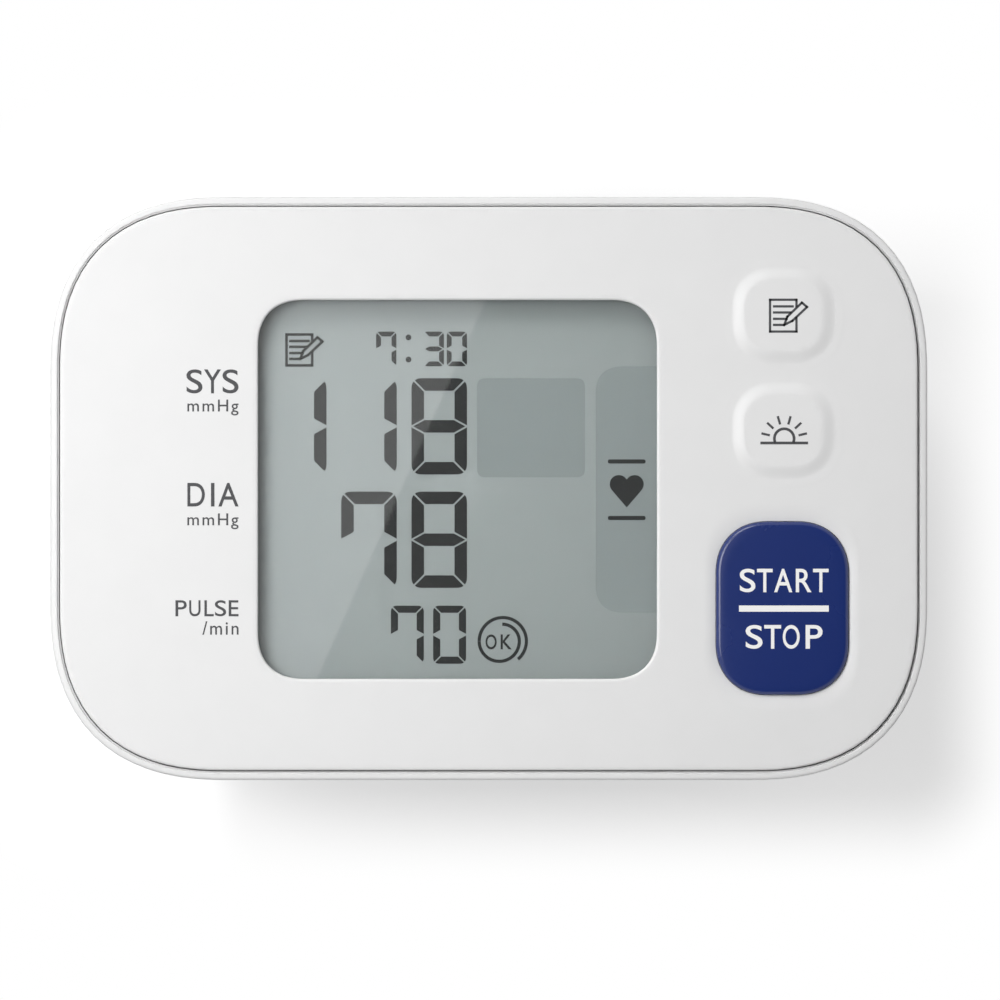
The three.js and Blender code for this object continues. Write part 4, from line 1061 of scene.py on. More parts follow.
@dataclass
class FrontCover:
    """The white face: a lidded skirt with the window, the key openings and the large key's dish."""

    inset: float = 1.02
    skirt: float = 1.08
    skirt_base: float = 10.5
    under: float = 13.5
    edge_round: float = 0.25
    edge_steps: int = 6
    flat: float = 0.35  # width of the strips that keep the face flat
    window_round: float = 0.25
    window_steps: int = 5
    lip: float = 14.1
    lens_room: float = 1.9
    hole_round: float = 0.12
    dish: SoftOutline = replace(START, width=16.1, height=21.5, reach=6.0)
    dish_depth: float = 0.17
    dish_bend: float = 1.8
    dish_steps: int = 10
    boss_radius: float = 2.0
    boss_root: float = 0.3
    case_bore: float = 1.2
    case_boss: float = 6.6  # height of a case boss's foot
    board_bore: float = 1.0
    board_post: float = 10.3

    def outside(self) -> list[Level]:
        """Gives the cover's outer levels.

        Returns:
            Levels from the skirt's inner top, round its foot, to the face.
        """
        inner = case_outline(self.inset + self.skirt)
        outer = case_outline(self.inset)
        foot = [(inner, self.under), (inner, self.skirt_base), (outer, self.skirt_base)]
        edge = rounded(
            lambda inset: case_outline(self.inset + inset), self.edge_round, FACE, self.edge_steps
        )
        return [*foot, *edge, (case_outline(self.inset + self.edge_round + self.flat), FACE)]

    def window(self) -> list[Level]:
        """Gives the window's levels.

        Returns:
            Levels from the face, down the window's wall, to the lens room.
        """
        brim = WINDOW.grown(self.window_round + self.flat)
        edge = rounded(WINDOW.grown, self.window_round, FACE, self.window_steps)
        room = WINDOW.grown(self.lens_room)
        return [(brim, FACE), *reversed(edge), (WINDOW, self.lip), (room, self.lip), (room, self.under)]

    def soft_hole(self, key: SoftOutline) -> list[Level]:
        """Gives the levels of a small key's opening, from the face down."""
        hole = key.grown(SOFT_PLAY)
        return [(hole.grown(self.hole_round), FACE), (hole, FACE - self.hole_round), (hole, self.under)]

    def start_hole(self) -> list[Level]:
        """Gives the levels of the large key's dish and opening.

        Returns:
            Levels from the face down.
        """
        hole = START.grown(START_PLAY)
        levels = [(self.dish.grown(self.flat), FACE)]
        for step in range(self.dish_steps + 1):
            share = step / self.dish_steps
            levels.append((self.dish.towards(hole, share), FACE - self.dish_depth * share**self.dish_bend))
        return [*levels, (hole, self.under)]

    def bosses(self, bm: BMesh) -> None:
        """Adds the screw bosses and the board's posts under the face.

        Args:
            bm: Mesh of the cover.
        """
        root, outer = self.under + self.boss_root, self.boss_radius
        kinds = (
            (CASE_SCREWS, self.case_bore, self.case_boss),
            (BOARD_SCREWS, self.board_bore, self.board_post),
        )
        for places, bore, low in kinds:
            for place in places:
                profile = [(outer, low), (outer, root), (bore, root), (bore, low)]
                added(bm, turned(profile, *place, ring=True))

    def build(self) -> None:
        """Makes the piece."""
        bm = bmesh.new()
        shell = loft(bm, self.outside())
        openings = [self.window(), self.start_hole(), self.soft_hole(MEMORY), self.soft_hole(AVERAGE)]
        holes = [loft(bm, levels) for levels in openings]
        fill(bm, shell[-1], *[hole[0] for hole in holes])
        fill(bm, shell[0], *[hole[-1] for hole in holes])
        self.bosses(tidy(bm))
        piece = Piece("front_cover_shell", Slot.SHELL, stands_for=("front_cover",), lift=BACK)
        piece.make(bm, WHITE_SHELL)


# Marks

LETTER_SPACE = 1.2
LETTER_STEPS = 8
CAPITAL_WIDTH = 0.71  # over the height, for most capitals
OTHER_WIDTHS = {"A": 0.82, "E": 0.62, "I": 0.14, "L": 0.59, "Y": 0.75}
CAPITAL_GAP = 0.07  # between capitals, over their height
STRAIGHT_GAP = 0.09  # added beside each straight side
STRAIGHT_LEFT = "DEIKLPRU"
STRAIGHT_RIGHT = "DIOU"
ARC_STEP = 5  # degrees
DOT_STEPS = 24


@dataclass(frozen=True)
class Words:
    """Words in plain letters, fitted to a rectangle and flat at height 0."""

    text: str
    left: float
    right: float
    low: float
    high: float
    weight: float  # how much bolder the letters are drawn

    def plain(self) -> BMesh:
        """Sets the words in one run.

        Returns:
            The letters.
        """
        curve = bpy.data.curves.new("words", "FONT")
        curve.body = self.text
        curve.offset = self.weight
        curve.space_character = LETTER_SPACE
        curve.resolution_u = LETTER_STEPS
        bm = finished(linked("words", curve))
        xs, ys = zip(*(vert.co.xy for vert in bm.verts))
        shifted(bm, -min(xs), -min(ys))
        wide = (self.right - self.left) / (max(xs) - min(xs))
        tall = (self.high - self.low) / (max(ys) - min(ys))
        bmesh.ops.scale(bm, vec=(wide, tall, 1), verts=bm.verts)
        return shifted(bm, self.left, self.low)

    def capitals(self) -> BMesh:
        """Sets the words in even, narrow capitals.

        Returns:
            The letters.
        """
        widths = [OTHER_WIDTHS.get(letter, CAPITAL_WIDTH) for letter in self.text]
        gaps = [0.0]
        for before, after in zip(self.text, self.text[1:]):
            straight_sides = (before in STRAIGHT_RIGHT) + (after in STRAIGHT_LEFT)
            gaps.append(CAPITAL_GAP + STRAIGHT_GAP * straight_sides)
        unit = (self.right - self.left) / (sum(widths) + sum(gaps))
        bm, left = bmesh.new(), self.left
        for letter, width, gap in zip(self.text, widths, gaps):
            start = left + gap * unit
            left = start + width * unit
            added(bm, replace(self, text=letter, left=start, right=left).plain())
        return bm


def stroke(start: Sequence[float], end: Sequence[float], width: float) -> BMesh:
    """Draws a straight bar between two points.

    Args:
        start: Middle of its first end.
        end: Middle of its other end.
        width: Its width.

    Returns:
        The bar, flat at height 0.
    """
    bm = bmesh.new()
    bmesh.ops.create_grid(bm, x_segments=1, y_segments=1, size=0.5)
    run = Vector(end) - Vector(start)
    bmesh.ops.scale(bm, vec=(run.length, width, 1), verts=bm.verts)
    turn = Matrix.Rotation(math.atan2(run.y, run.x), 3, "Z")
    bmesh.ops.rotate(bm, cent=(0, 0, 0), matrix=turn, verts=bm.verts)
    return shifted(bm, *(Vector(start) + Vector(end)) / 2)


def arc(middle: Point, radius: float, start: float, end: float, width: float) -> BMesh:
    """Draws a curved bar.

    Args:
        middle: Middle of its curve.
        radius: Radius at the middle of its width.
        start: First angle, in degrees.
        end: Last angle, in degrees.
        width: Its width.

    Returns:
        The bar, flat at height 0.
    """
    bm = bmesh.new()
    inner, outer = [bm.verts.new((radius + side * width / 2, 0, 0)) for side in (-1, 1)]
    edge = bm.edges.new((inner, outer))
    turn = Matrix.Rotation(math.radians(start), 3, "Z")
    bmesh.ops.rotate(bm, cent=(0, 0, 0), matrix=turn, verts=bm.verts)
    bmesh.ops.spin(
        bm, geom=[inner, outer, edge], cent=(0, 0, 0), axis=(0, 0, 1),
        angle=math.radians(end - start), steps=int(abs(end - start) / ARC_STEP),
    )
    return shifted(bm, *middle)


def printed(marks: BMesh, low: float, thick: float) -> BMesh:
    """Gives flat marks a thickness, so that they are closed.

    Args:
        marks: The marks, flat at height 0.
        low: Height of their underside.
        thick: Their thickness.

    Returns:
        The marks as thin solids.
    """
    for face in marks.faces:
        if face.normal.z < 0:
            face.normal_flip()
    bmesh.ops.remove_doubles(marks, verts=marks.verts, dist=DOUBLE)
    raised = bmesh.ops.extrude_face_region(marks, geom=marks.faces[:], use_keep_orig=True)["geom"]
    verts = [item for item in raised if isinstance(item, BMVert)]
    bmesh.ops.translate(marks, vec=(0, 0, thick), verts=verts)
    bmesh.ops.recalc_face_normals(shifted(marks, 0, 0, low), faces=marks.faces)
    return marks


@dataclass(frozen=True)
class NotepadMark:
    """A page with four lines and a pencil, drawn from its lower left corner."""

    x: float
    y: float
    scale: float = 1.0  # over the size of the mark on the key
    line: float = 0.24
    width: float = 2.74
    height: float = 3.3
    edge_gap: Point = (1.42, 2.62)  # heights between which the pencil breaks the right edge
    indent: float = 0.42

    def draw(self) -> BMesh:
        """Draws the mark.

        Returns:
            The mark, flat at height 0.
        """
        width, height = self.width, self.height
        gap_low, gap_high = self.edge_gap
        bars = [
            ((0, 0), (0, height)), ((0, height), (width, height)), ((0, 0), (width, 0)),
            ((width, 0), (width, gap_low)), ((width, gap_high), (width, height)),
        ]
        for end, level in ((2.34, 2.61), (2.12, 1.98), (1.72, 1.32), (1.42, 0.69)):
            bars.append(((self.indent, level), (end, level)))
        pencil = [(3.30, 3.00), (3.84, 2.55), (2.31, 1.11), (1.47, 0.69), (1.79, 1.54)]
        bars += zip(pencil, [*pencil[1:], pencil[0]])
        bm = bmesh.new()
        for start, end in bars:
            start, end = Vector(start), Vector(end)
            beyond = (end - start).normalized() * self.line / 2
            added(bm, stroke(start - beyond, end + beyond, self.line))
        bmesh.ops.scale(bm, vec=(self.scale, self.scale, 1), verts=bm.verts)
        return shifted(bm, self.x, self.y)


@dataclass(frozen=True)
class SunriseMark:
    """Half a sun with six rays over a horizon."""

    x: float = 30.63
    y: float = 5.17
    line: float = 0.28
    radius: float = 1.02
    dip: float = 22.0  # degrees that the sun's edge runs below its middle
    rays: tuple[float, ...] = (13.0, 43.0, 74.0, 106.0, 137.0, 167.0)
    ray_start: float = 1.53
    ray_end: float = 2.42
    ray_line: float = 0.238
    horizon: float = 2.47
    sink: float = 0.45

    def draw(self) -> BMesh:
        """Draws the mark.

        Returns:
            The mark, flat at height 0.
        """
        bm = stroke((-self.horizon, -self.sink), (self.horizon, -self.sink), self.line)
        added(bm, arc((0, 0), self.radius, -self.dip, 180 + self.dip, self.line))
        for angle in self.rays:
            way = Vector((math.cos(math.radians(angle)), math.sin(math.radians(angle))))
            added(bm, stroke(way * self.ray_start, way * self.ray_end, self.ray_line))
        return shifted(bm, self.x, self.y)


@dataclass
class Legends:
    """The names and units of the readings, printed left of the window."""

    right: float = -25.95
    weight: float = 0.004
    thick: float = 0.02

    def build(self) -> None:
        """Makes the piece."""
        rows = (
            ("SYS", 5.4, 9.87, 2.48),
            ("mmHg", 5.3, 7.58, 1.64),
            ("DIA", 5.3, -1.86, 2.44),
            ("mmHg", 5.3, -4.22, 1.64),
            ("PULSE", 6.54, -13.25, 1.66),
            ("/min", 3.75, -15.17, 1.4),
        )
        bm = bmesh.new()
        for text, width, low, height in rows:
            words = Words(text, self.right - width, self.right, low, low + height, self.weight)
            added(bm, words.capitals() if text.isupper() else words.plain())
        piece = Piece("reading_legends", Slot.SHELL, lift=BACK)
        piece.make(printed(bm, FACE + PRINT_GAP, self.thick), GREY_PRINT)


# Display


class Bar(Enum):
    """The bars of a seven-bar digit."""

    TOP = "top"
    UPPER_RIGHT = "upper right"
    LOWER_RIGHT = "lower right"
    BOTTOM = "bottom"
    LOWER_LEFT = "lower left"
    UPPER_LEFT = "upper left"
    MIDDLE = "middle"


RIGHT_BARS = (Bar.UPPER_RIGHT, Bar.LOWER_RIGHT)
LEFT_BARS = (Bar.UPPER_LEFT, Bar.LOWER_LEFT)
LOW_BARS = (Bar.BOTTOM, Bar.LOWER_LEFT, Bar.LOWER_RIGHT)
DIGITS = {
    "0": (*RIGHT_BARS, *LEFT_BARS, Bar.TOP, Bar.BOTTOM),
    "1": RIGHT_BARS,
    "3": (*RIGHT_BARS, Bar.TOP, Bar.MIDDLE, Bar.BOTTOM),
    "7": (*RIGHT_BARS, Bar.TOP, Bar.UPPER_LEFT),
    "8": tuple(Bar),
}


@dataclass(frozen=True)
class DigitStyle:
    """The size and cut of a row of digits."""

    width: float
    height: float
    bar: float  # thickness of a bar
    gap: float = 0.09  # half of the light gap between bars
    slope: float = 0.55  # rise of the cuts at the middle bar
    corner: float = 0.2  # reach of the outer corners over the width

    def cuts(self, kind: Bar) -> list[tuple[Vector, Vector]]:
        """Gives the cuts that leave one bar of a digit that stands about its middle.

        Args:
            kind: Top, upper left or middle bar.

        Returns:
            A point and the direction that falls away, for each cut.
        """
        left, top = -self.width / 2, self.height / 2
        mitre = Vector((1, 1, 0)).normalized()
        tilt = Vector((-self.slope, 1, 0)).normalized()
        corner, elbow = Vector((left, top, 0)), Vector((left, 0, 0))
        if kind is Bar.TOP:
            flip = Vector((-1, 1, 1))
            end = corner + mitre * self.gap
            under = (Vector((0, top - self.bar, 0)), Vector((0, -1, 0)))
            return [under, (end, -mitre), (end * flip, -mitre * flip)]
        if kind is Bar.UPPER_LEFT:
            return [
                (Vector((left + self.bar, 0, 0)), Vector((1, 0, 0))),
                (corner - mitre * self.gap, mitre),
                (elbow + tilt * self.gap, -tilt),
            ]
        half, up = Vector((0, self.bar / 2, 0)), Vector((0, 1, 0))
        flips = [Vector((across, along, 1)) for across in (1, -1) for along in (1, -1)]
        ends = [((elbow - tilt * self.gap) * flip, tilt * flip) for flip in flips]
        return [(half, up), (-half, -up), *ends]

    def bar_shape(self, kind: Bar) -> BMesh:
        """Cuts one bar out of the digit's rounded outline.

        Args:
            kind: Which bar.

        Returns:
            The bar, flat at height 0, of a digit that stands about its middle.
        """
        across = -1 if kind in RIGHT_BARS else 1
        up = -1 if kind in LOW_BARS else 1
        model = Bar.UPPER_LEFT if kind in LEFT_BARS + RIGHT_BARS else Bar.TOP
        model = Bar.MIDDLE if kind is Bar.MIDDLE else model
        bm = bmesh.new()
        SoftOutline(self.width, self.height, self.corner * self.width).face(bm, 0)
        for point, away in self.cuts(model):
            cut_off(bm, point, away)
        bmesh.ops.scale(bm, vec=(across, up, 1), verts=bm.verts)
        bmesh.ops.recalc_face_normals(bm, faces=bm.faces)
        return bm

    def digit(self, figure: str, right: float, low: float) -> BMesh:
        """Draws one digit, flat at height 0, by its right and its bottom edge."""
        bm = added(bmesh.new(), *[self.bar_shape(kind) for kind in DIGITS[figure]])
        return shifted(bm, right - self.width / 2, low + self.height / 2)


@dataclass(frozen=True)
class Heart:
    """The pulse sign between its two bars."""

    x: float = 14.33
    y: float = 0.45
    lobe: float = 0.95  # radius of a lobe
    aside: float = 0.82  # from the middle to a lobe's middle
    drop: float = 2.42  # from the lobes' middles to the tip
    steps: int = 16
    bars: Point = (2.81, -3.06)
    bar_width: float = 3.92
    bar_height: float = 0.43
    bar_reach: float = 0.21

    def draw(self) -> BMesh:
        """Draws the sign.

        Returns:
            The marks, flat at height 0.
        """
        bm = bmesh.new()
        lobe, aside, drop = self.lobe, self.aside, self.drop
        first = math.atan2(drop, aside) - math.asin(lobe / math.hypot(aside, drop)) - math.pi / 2
        last = math.acos(-aside / lobe)
        for side in (-1, 1):
            half = bmesh.new()
            tip = half.verts.new((0, -drop, 0))
            cheek = half.verts.new((side * (aside + lobe * math.cos(first)), lobe * math.sin(first), 0))
            half.edges.new((tip, cheek))
            bmesh.ops.spin(
                half, geom=[cheek], cent=(side * aside, 0, 0), axis=(0, 0, side), angle=last - first,
                steps=self.steps,
            )
            bmesh.ops.contextual_create(half, geom=half.verts[:])
            added(bm, half)
        shifted(bm, self.x, self.y)
        for y in self.bars:
            SoftOutline(self.bar_width, self.bar_height, self.bar_reach, self.x, y).face(bm, 0)
        return bm


@dataclass
class Display:
    """The lens, and the liquid crystal panel with a reading on it."""

    lens_lap: float = 1.6
    lens_low: float = 12.8
    lens_high: float = 13.8
    lens_edge: float = 0.12
    glass_lap: float = 0.37
    glass_low: float = 10.8
    glass_high: float = 12.5
    glass_round: float = 0.08
    field: SoftOutline = SoftOutline(11.2, 10.3, 0.9, 4.39, 6.31)
    side_left: float = 11.12
    side_height: float = 25.59
    side_reach: float = 2.9
    side_y: float = -0.095
    side_margin: float = 0.1
    field_thick: float = 0.006
    ink_gap: float = 0.014
    thick: float = 0.02
    dot: float = 0.3
    dots: tuple[Point, ...] = ((-8.34, 15.7), (-8.34, 13.4))  # of the clock
    ring_line: float = 0.34
    rings: tuple[tuple[Point, float, float, float], ...] = (  # round the word OK
        ((1.457, -15.855), 2.45, 180, -50),
        ((1.09, -15.87), 2.086, 180, 360),
        ((1.40, -15.87), 1.776, 0, 90),
    )

    def lens(self) -> None:
        """Makes the lens."""
        outline = WINDOW.grown(self.lens_lap)
        inner = outline.grown(-self.lens_edge)
        bm = closed_loft([
            (inner, self.lens_low),
            (outline, self.lens_low + self.lens_edge),
            (outline, self.lens_high - self.lens_edge),
            (inner, self.lens_high),
        ])
        Piece("window_lens", Slot.LENS, stands_for=("display_lens",), lift=BACK).make(bm, CLEAR_LENS)

    def glass(self) -> None:
        """Makes the panel: two glass plates, one on the other."""
        half = Vector((WINDOW.width, WINDOW.height)) / 2 + Vector((self.glass_lap, self.glass_lap))
        low, high = Vector((WINDOW.x, WINDOW.y)) - half, Vector((WINDOW.x, WINDOW.y)) + half
        seam = (self.glass_low + self.glass_high) / 2
        bm = bmesh.new()
        for under, over in ((self.glass_low, seam), (seam, self.glass_high)):
            added(bm, block((*low, under), (*high, over), self.glass_round))
        Piece("display_panel", Slot.DISPLAY, stands_for=("lcd_panel",), lift=BACK).make(bm, DISPLAY_GLASS)

    def fields(self) -> None:
        """Makes the darker fields of the panel."""
        right = WINDOW.x + WINDOW.width / 2 + self.glass_lap - self.side_margin
        bm, side = bmesh.new(), bmesh.new()
        self.field.face(bm, 0)
        width = 2 * (right - self.side_left)
        SoftOutline(width, self.side_height, self.side_reach, right, self.side_y).face(side, 0)
        cut_off(side, (right, 0, 0), (1, 0, 0))
        piece = Piece("display_fields", Slot.DISPLAY, lift=BACK)
        marks = printed(added(bm, side), self.glass_high + PRINT_GAP, self.field_thick)
        piece.make(marks, DISPLAY_SHADE)

    def reading(self) -> None:
        """Makes the dark marks of the reading."""
        large, small = DigitStyle(5.77, 10.0, 1.3), DigitStyle(2.1, 3.6, 0.5, 0.06)
        rows = (
            (large, "118", -2.26, 1.46, 7.3),
            (large, "78", -2.26, -10.32, 7.3),
            (DigitStyle(3.42, 6.03, 0.74, 0.07), "70", -2.36, -18.2, 4.39),
            (small, "30", -2.26, 12.7, 2.4),
            (small, "7", -9.6, 12.7, 2.4),
        )
        bm = bmesh.new()
        for style, figures, right, low, pitch in rows:
            for place, figure in enumerate(reversed(figures)):
                added(bm, style.digit(figure, right - place * pitch, low))
        for place in self.dots:
            dot = bmesh.ops.create_circle(bm, cap_ends=True, radius=self.dot, segments=DOT_STEPS)["verts"]
            bmesh.ops.translate(bm, vec=(*place, 0), verts=dot)
        added(bm, NotepadMark(-21.01, 12.79, scale=0.972, line=0.28).draw(), Heart().draw())
        for middle, radius, start, end in self.rings:
            added(bm, arc(middle, radius, start, end, self.ring_line))
        added(bm, Words("OK", -0.34, 2.39, -16.71, -15.16, 0.012).capitals())
        piece = Piece("display_reading", Slot.DISPLAY, lift=BACK)
        piece.make(printed(bm, self.glass_high + self.ink_gap, self.thick), DISPLAY_INK)

    def build(self) -> None:
        """Makes the display's pieces."""
        for make in (self.glass, self.fields, self.reading, self.lens):
            make()


# Keys


@dataclass
class StartKey:
    """The large navy key with its white words."""

    rise: float = 0.45
    edge_round: float = 0.5
    edge_steps: int = 7
    crown: float = 0.06
    crown_steps: int = 8
    crown_lost: float = 0.6  # how much shorter the crown's corners get for each millimetre
    flat: float = 0.4  # half of the flat strip along the crown's middle
    words_thick: float = 0.05
    words_rise: float = 0.008

    def cap(self) -> None:
        """Makes the key."""
        wide = START.grown(FLANGE)
        rim = FACE + self.rise - self.crown
        foot = [(wide, FLANGE_LOW), (wide, FLANGE_HIGH), (START, FLANGE_HIGH)]
        levels = foot + rounded(lambda inset: START.grown(-inset), self.edge_round, rim, self.edge_steps)
        reach = START.width / 2 - self.edge_round - self.flat
        for step in range(1, self.crown_steps + 1):
            share = step / self.crown_steps
            height = rim + self.crown * (1 - (1 - share) ** 2)
            levels.append((START.grown(-self.edge_round - share * reach, self.crown_lost), height))
        piece = Piece("start_key_cap", Slot.BLUE_KEY, Body.START_KEY, ("start_button",), BACK)
        piece.make(closed_loft(levels), NAVY_KEY)

    def words(self) -> None:
        """Makes the words and the bar between them."""
        bm = Words("START", 26.02, 35.24, -10.75, -8.32, 0.008).capitals()
        added(bm, Words("STOP", 26.63, 34.60, -16.61, -14.15, 0.008).capitals())
        added(bm, stroke((25.94, -12.45), (35.25, -12.45), 0.64))
        low = FACE + self.rise - self.words_thick + self.words_rise
        piece = Piece("start_key_words", Slot.BLUE_KEY, Body.START_KEY, lift=BACK)
        piece.make(printed(bm, low, self.words_thick), WHITE_PRINT)

    def build(self) -> None:
        """Makes the key and the words on it."""
        self.cap()
        self.words()


@dataclass
class SoftKey:
    """A small white key: a skin that swells out of the face, and the stem that it presses."""

    name: str
    outline: SoftOutline
    body: Body
    node: str  # CAD node that it stands for
    rise: float = 0.3
    shoulder: float = 1.5
    foot: float = 0.15  # how far outside the outline the shoulder begins
    lap: float = 0.9
    skin: float = 0.005
    low: float = 0.002  # height of the skin's edge over the face
    lift: float = 0.012
    steps: int = 14
    flat: float = 0.25  # width of the strip that keeps the top flat
    stem_inset: float = 0.5
    stem_gap: float = 0.05
    sign_thick: float = 0.015

    def skin_levels(self) -> list[Level]:
        """Gives the levels of the skin's upper side.

        Returns:
            Levels from its lapped edge to its flat top.
        """
        base = FACE + self.lift
        levels = [(self.outline.grown(self.lap), z) for z in (FACE + self.low, base)]
        for step in range(self.steps + 1):
            share = step / self.steps
            height = self.rise * share * share * (3 - 2 * share)
            levels.append((self.outline.grown(self.foot - share * self.shoulder), base + height))
        return [*levels, (self.outline.grown(-self.flat - self.shoulder), base + self.rise)]

    def cover(self) -> None:
        """Makes the skin, which bends from the face to the key and keeps its thickness."""
        bm = bmesh.new()
        fill(bm, loft(bm, self.skin_levels())[-1])
        tidy(bm)
        if sum(face.normal.z for face in bm.faces) < 0:
            bmesh.ops.reverse_faces(bm, faces=bm.faces[:])
        piece = Piece(f"{self.name}_key_skin", Slot.SOFT_KEY, None, lift=BACK)
        made = piece.make(bm, WHITE_SKIN)
        thickened(made, self.skin, -1.0)
        x, y, base = self.outline.x * MM, self.outline.y * MM, BACK + FACE + self.lift
        start, end = (x, y, base * MM), (x, y, (base + self.rise) * MM)
        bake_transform(made, Body.HOUSING.value, self.body.value, start=start, end=end)

    def stem(self) -> None:
        """Makes the stem under the skin."""
        wide = self.outline.grown(FLANGE)
        slim = self.outline.grown(-self.shoulder - self.stem_inset)
        top = FACE + self.rise - self.skin - self.stem_gap
        bm = closed_loft([(wide, FLANGE_LOW), (wide, FLANGE_HIGH), (slim, FLANGE_HIGH), (slim, top)])
        Piece(f"{self.name}_key_stem", Slot.SOFT_KEY, self.body, (self.node,), BACK).make(bm, WHITE_SKIN)

    def build(self, sign: BMesh) -> None:
        """Makes the key's skin, its stem and the sign on its top.

        Args:
            sign: The sign, flat at height 0.
        """
        self.cover()
        self.stem()
        low = FACE + self.lift + self.rise + PRINT_GAP
        piece = Piece(f"{self.name}_key_sign", Slot.SOFT_KEY, self.body, lift=BACK)
        piece.make(printed(sign, low, self.sign_thick), GREY_PRINT)


# Cuff

STITCH_LENGTH = 1.7
STITCH_WIDTH = 0.42
STITCH_DEPTH = 0.336
FOLD_STEPS = 10  # round a folded tape
CLOTH = {
    "quality": 6,
    "mass": 0.3,
    "tension_stiffness": 12.0,
    "compression_stiffness": 12.0,
    "shear_stiffness": 5.0,
    "bending_stiffness": 0.5,
    "air_damping": 3.0,
    "shrink_min": -0.03,
    "use_pressure": True,
    "uniform_pressure_force": 3.0,
}


@dataclass(frozen=True)
class Station:
    """A place along a band: how far along it lies, and what carries the band's start there."""

    along: float
    carry: Matrix


@dataclass(frozen=True)
class CuffRoute:
    """The loop of the band seen along Y, from its right end over the top to the tail's root."""

    side: float = 35.0
    top: float = 51.7
    top_round: float = 15.0
    bottom_round: float = 17.0
    stub: float = 31.0
    tail_angle: float = 35.0
    step: float = 1.25
    half: float = 26.8
    thick: float = 5.0

    def legs(self) -> list[tuple[float, float, Vector]]:
        """Gives the legs of the loop.

        Returns:
            For each leg its length along the band's middle, the angle that it turns by, and its
            direction where it is straight or the middle of its curve where it isn't.
        """
        upper, lower = self.top - self.top_round, self.bottom_round
        top_x, low_x = self.side - self.top_round, self.side - self.bottom_round
        over, under = self.top_round - self.thick / 2, self.bottom_round - self.thick / 2
        bend = math.pi / 2
        last = bend - math.radians(self.tail_angle)
        return [
            (upper - self.stub, 0, Vector((0, 0, 1))),
            (bend * over, bend, Vector((top_x, 0, upper))),
            (2 * top_x, 0, Vector((-1, 0, 0))),
            (bend * over, bend, Vector((-top_x, 0, upper))),
            (upper - lower, 0, Vector((0, 0, -1))),
            (bend * under, bend, Vector((-low_x, 0, lower))),
            (2 * low_x, 0, Vector((1, 0, 0))),
            (last * under, last, Vector((low_x, 0, lower))),
        ]

    def stations(self) -> list[Station]:
        """Walks the loop in small steps.

        Returns:
            The stations, the first one at the band's right end.
        """
        found = [Station(0.0, Matrix.Identity(4))]
        for length, angle, where in self.legs():
            steps = max(1, round(length / self.step))
            move = Matrix.Translation(where * (length / steps))
            if angle:
                turn = Matrix.Rotation(-angle / steps, 4, "Y")
                move = Matrix.Translation(where) @ turn @ Matrix.Translation(-where)
            for _ in range(steps):
                last = found[-1]
                found.append(Station(last.along + length / steps, move @ last.carry))
        return found

    def point(self, depth: float, y: float) -> Vector:
        """A point of the band's first section, at a depth below its outer face."""
        return Vector((self.side - depth, y, self.stub))


def extruded(bm: BMesh, edges: list[BMEdge]) -> tuple[list[BMEdge], list[BMVert]]:
    """Pulls a new row of faces out of edges.

    Args:
        bm: Mesh that holds the edges.
        edges: The edges.

    Returns:
        The row's far edges, still in place, and their points.
    """
    made = bmesh.ops.extrude_edge_only(bm, edges=edges)["geom"]
    found = [[item for item in made if isinstance(item, kind)] for kind in (BMEdge, BMVert)]
    return found[0], found[1]


def sweep(bm: BMesh, edges: list[BMEdge], stations: Sequence[Station]) -> list[BMEdge]:
    """Sweeps a section along a band, and keeps how far along and across each point lies.

    Args:
        bm: Mesh that holds the section.
        edges: The section, drawn at the first station.
        stations: The way to go.

    Returns:
        The section at the last station.
    """
    along, across = [bm.verts.layers.float.new(name) for name in ("along", "across")]
    for vert in bm.verts:
        vert[across] = vert.co.y * MM
    for before, station in zip(stations, stations[1:]):
        edges, verts = extruded(bm, edges)
        bmesh.ops.transform(bm, matrix=station.carry @ before.carry.inverted(), verts=verts)
        for vert in verts:
            vert[along] = station.along * MM
    return edges


def closed_sweep(bm: BMesh, stations: Sequence[Station]) -> BMesh:
    """Sweeps a closed section along a band and closes both ends.

    Args:
        bm: Mesh that holds only the section, drawn at the first station.
        stations: The way to go.

    Returns:
        The mesh, now a solid.
    """
    first = bm.edges[:]
    last = sweep(bm, first, stations)
    for edges in (first, last):
        bmesh.ops.contextual_create(bm, geom=edges)
    return tidy(bm)


def folded(bm: BMesh, start: Vector, middle: Vector, axis: Vector, shrink: Vector) -> list[BMVert]:
    """Folds a tape's section half round an edge of the band.

    Args:
        bm: Empty mesh to draw in.
        start: Point of the section on the band's outer face.
        middle: Middle of the fold.
        axis: Axis of the fold.
        shrink: Scale that flattens the fold.

    Returns:
        The two ends of the fold.
    """
    bmesh.ops.spin(
        bm, geom=[bm.verts.new(start)], cent=middle, axis=axis, angle=math.pi, steps=FOLD_STEPS
    )
    bmesh.ops.scale(bm, vec=shrink, space=Matrix.Translation(-middle), verts=bm.verts)
    return [vert for vert in bm.verts if len(vert.link_edges) == 1]


def sew(bm: BMesh, places: Sequence[Vector], carry: Matrix) -> None:
    """Adds stitches that lie along a band.

    Args:
        bm: Mesh that takes them.
        places: Their places in the section that the band starts with.
        carry: What carries that section to where they are sewn.
    """
    for place in places:
        one = bmesh.new()
        bmesh.ops.create_uvsphere(one, u_segments=6, v_segments=4, radius=0.5)
        bmesh.ops.scale(one, vec=(STITCH_DEPTH, STITCH_WIDTH, STITCH_LENGTH), verts=one.verts)
        bmesh.ops.transform(one, matrix=carry @ Matrix.Translation(place), verts=one.verts)
        added(bm, one)


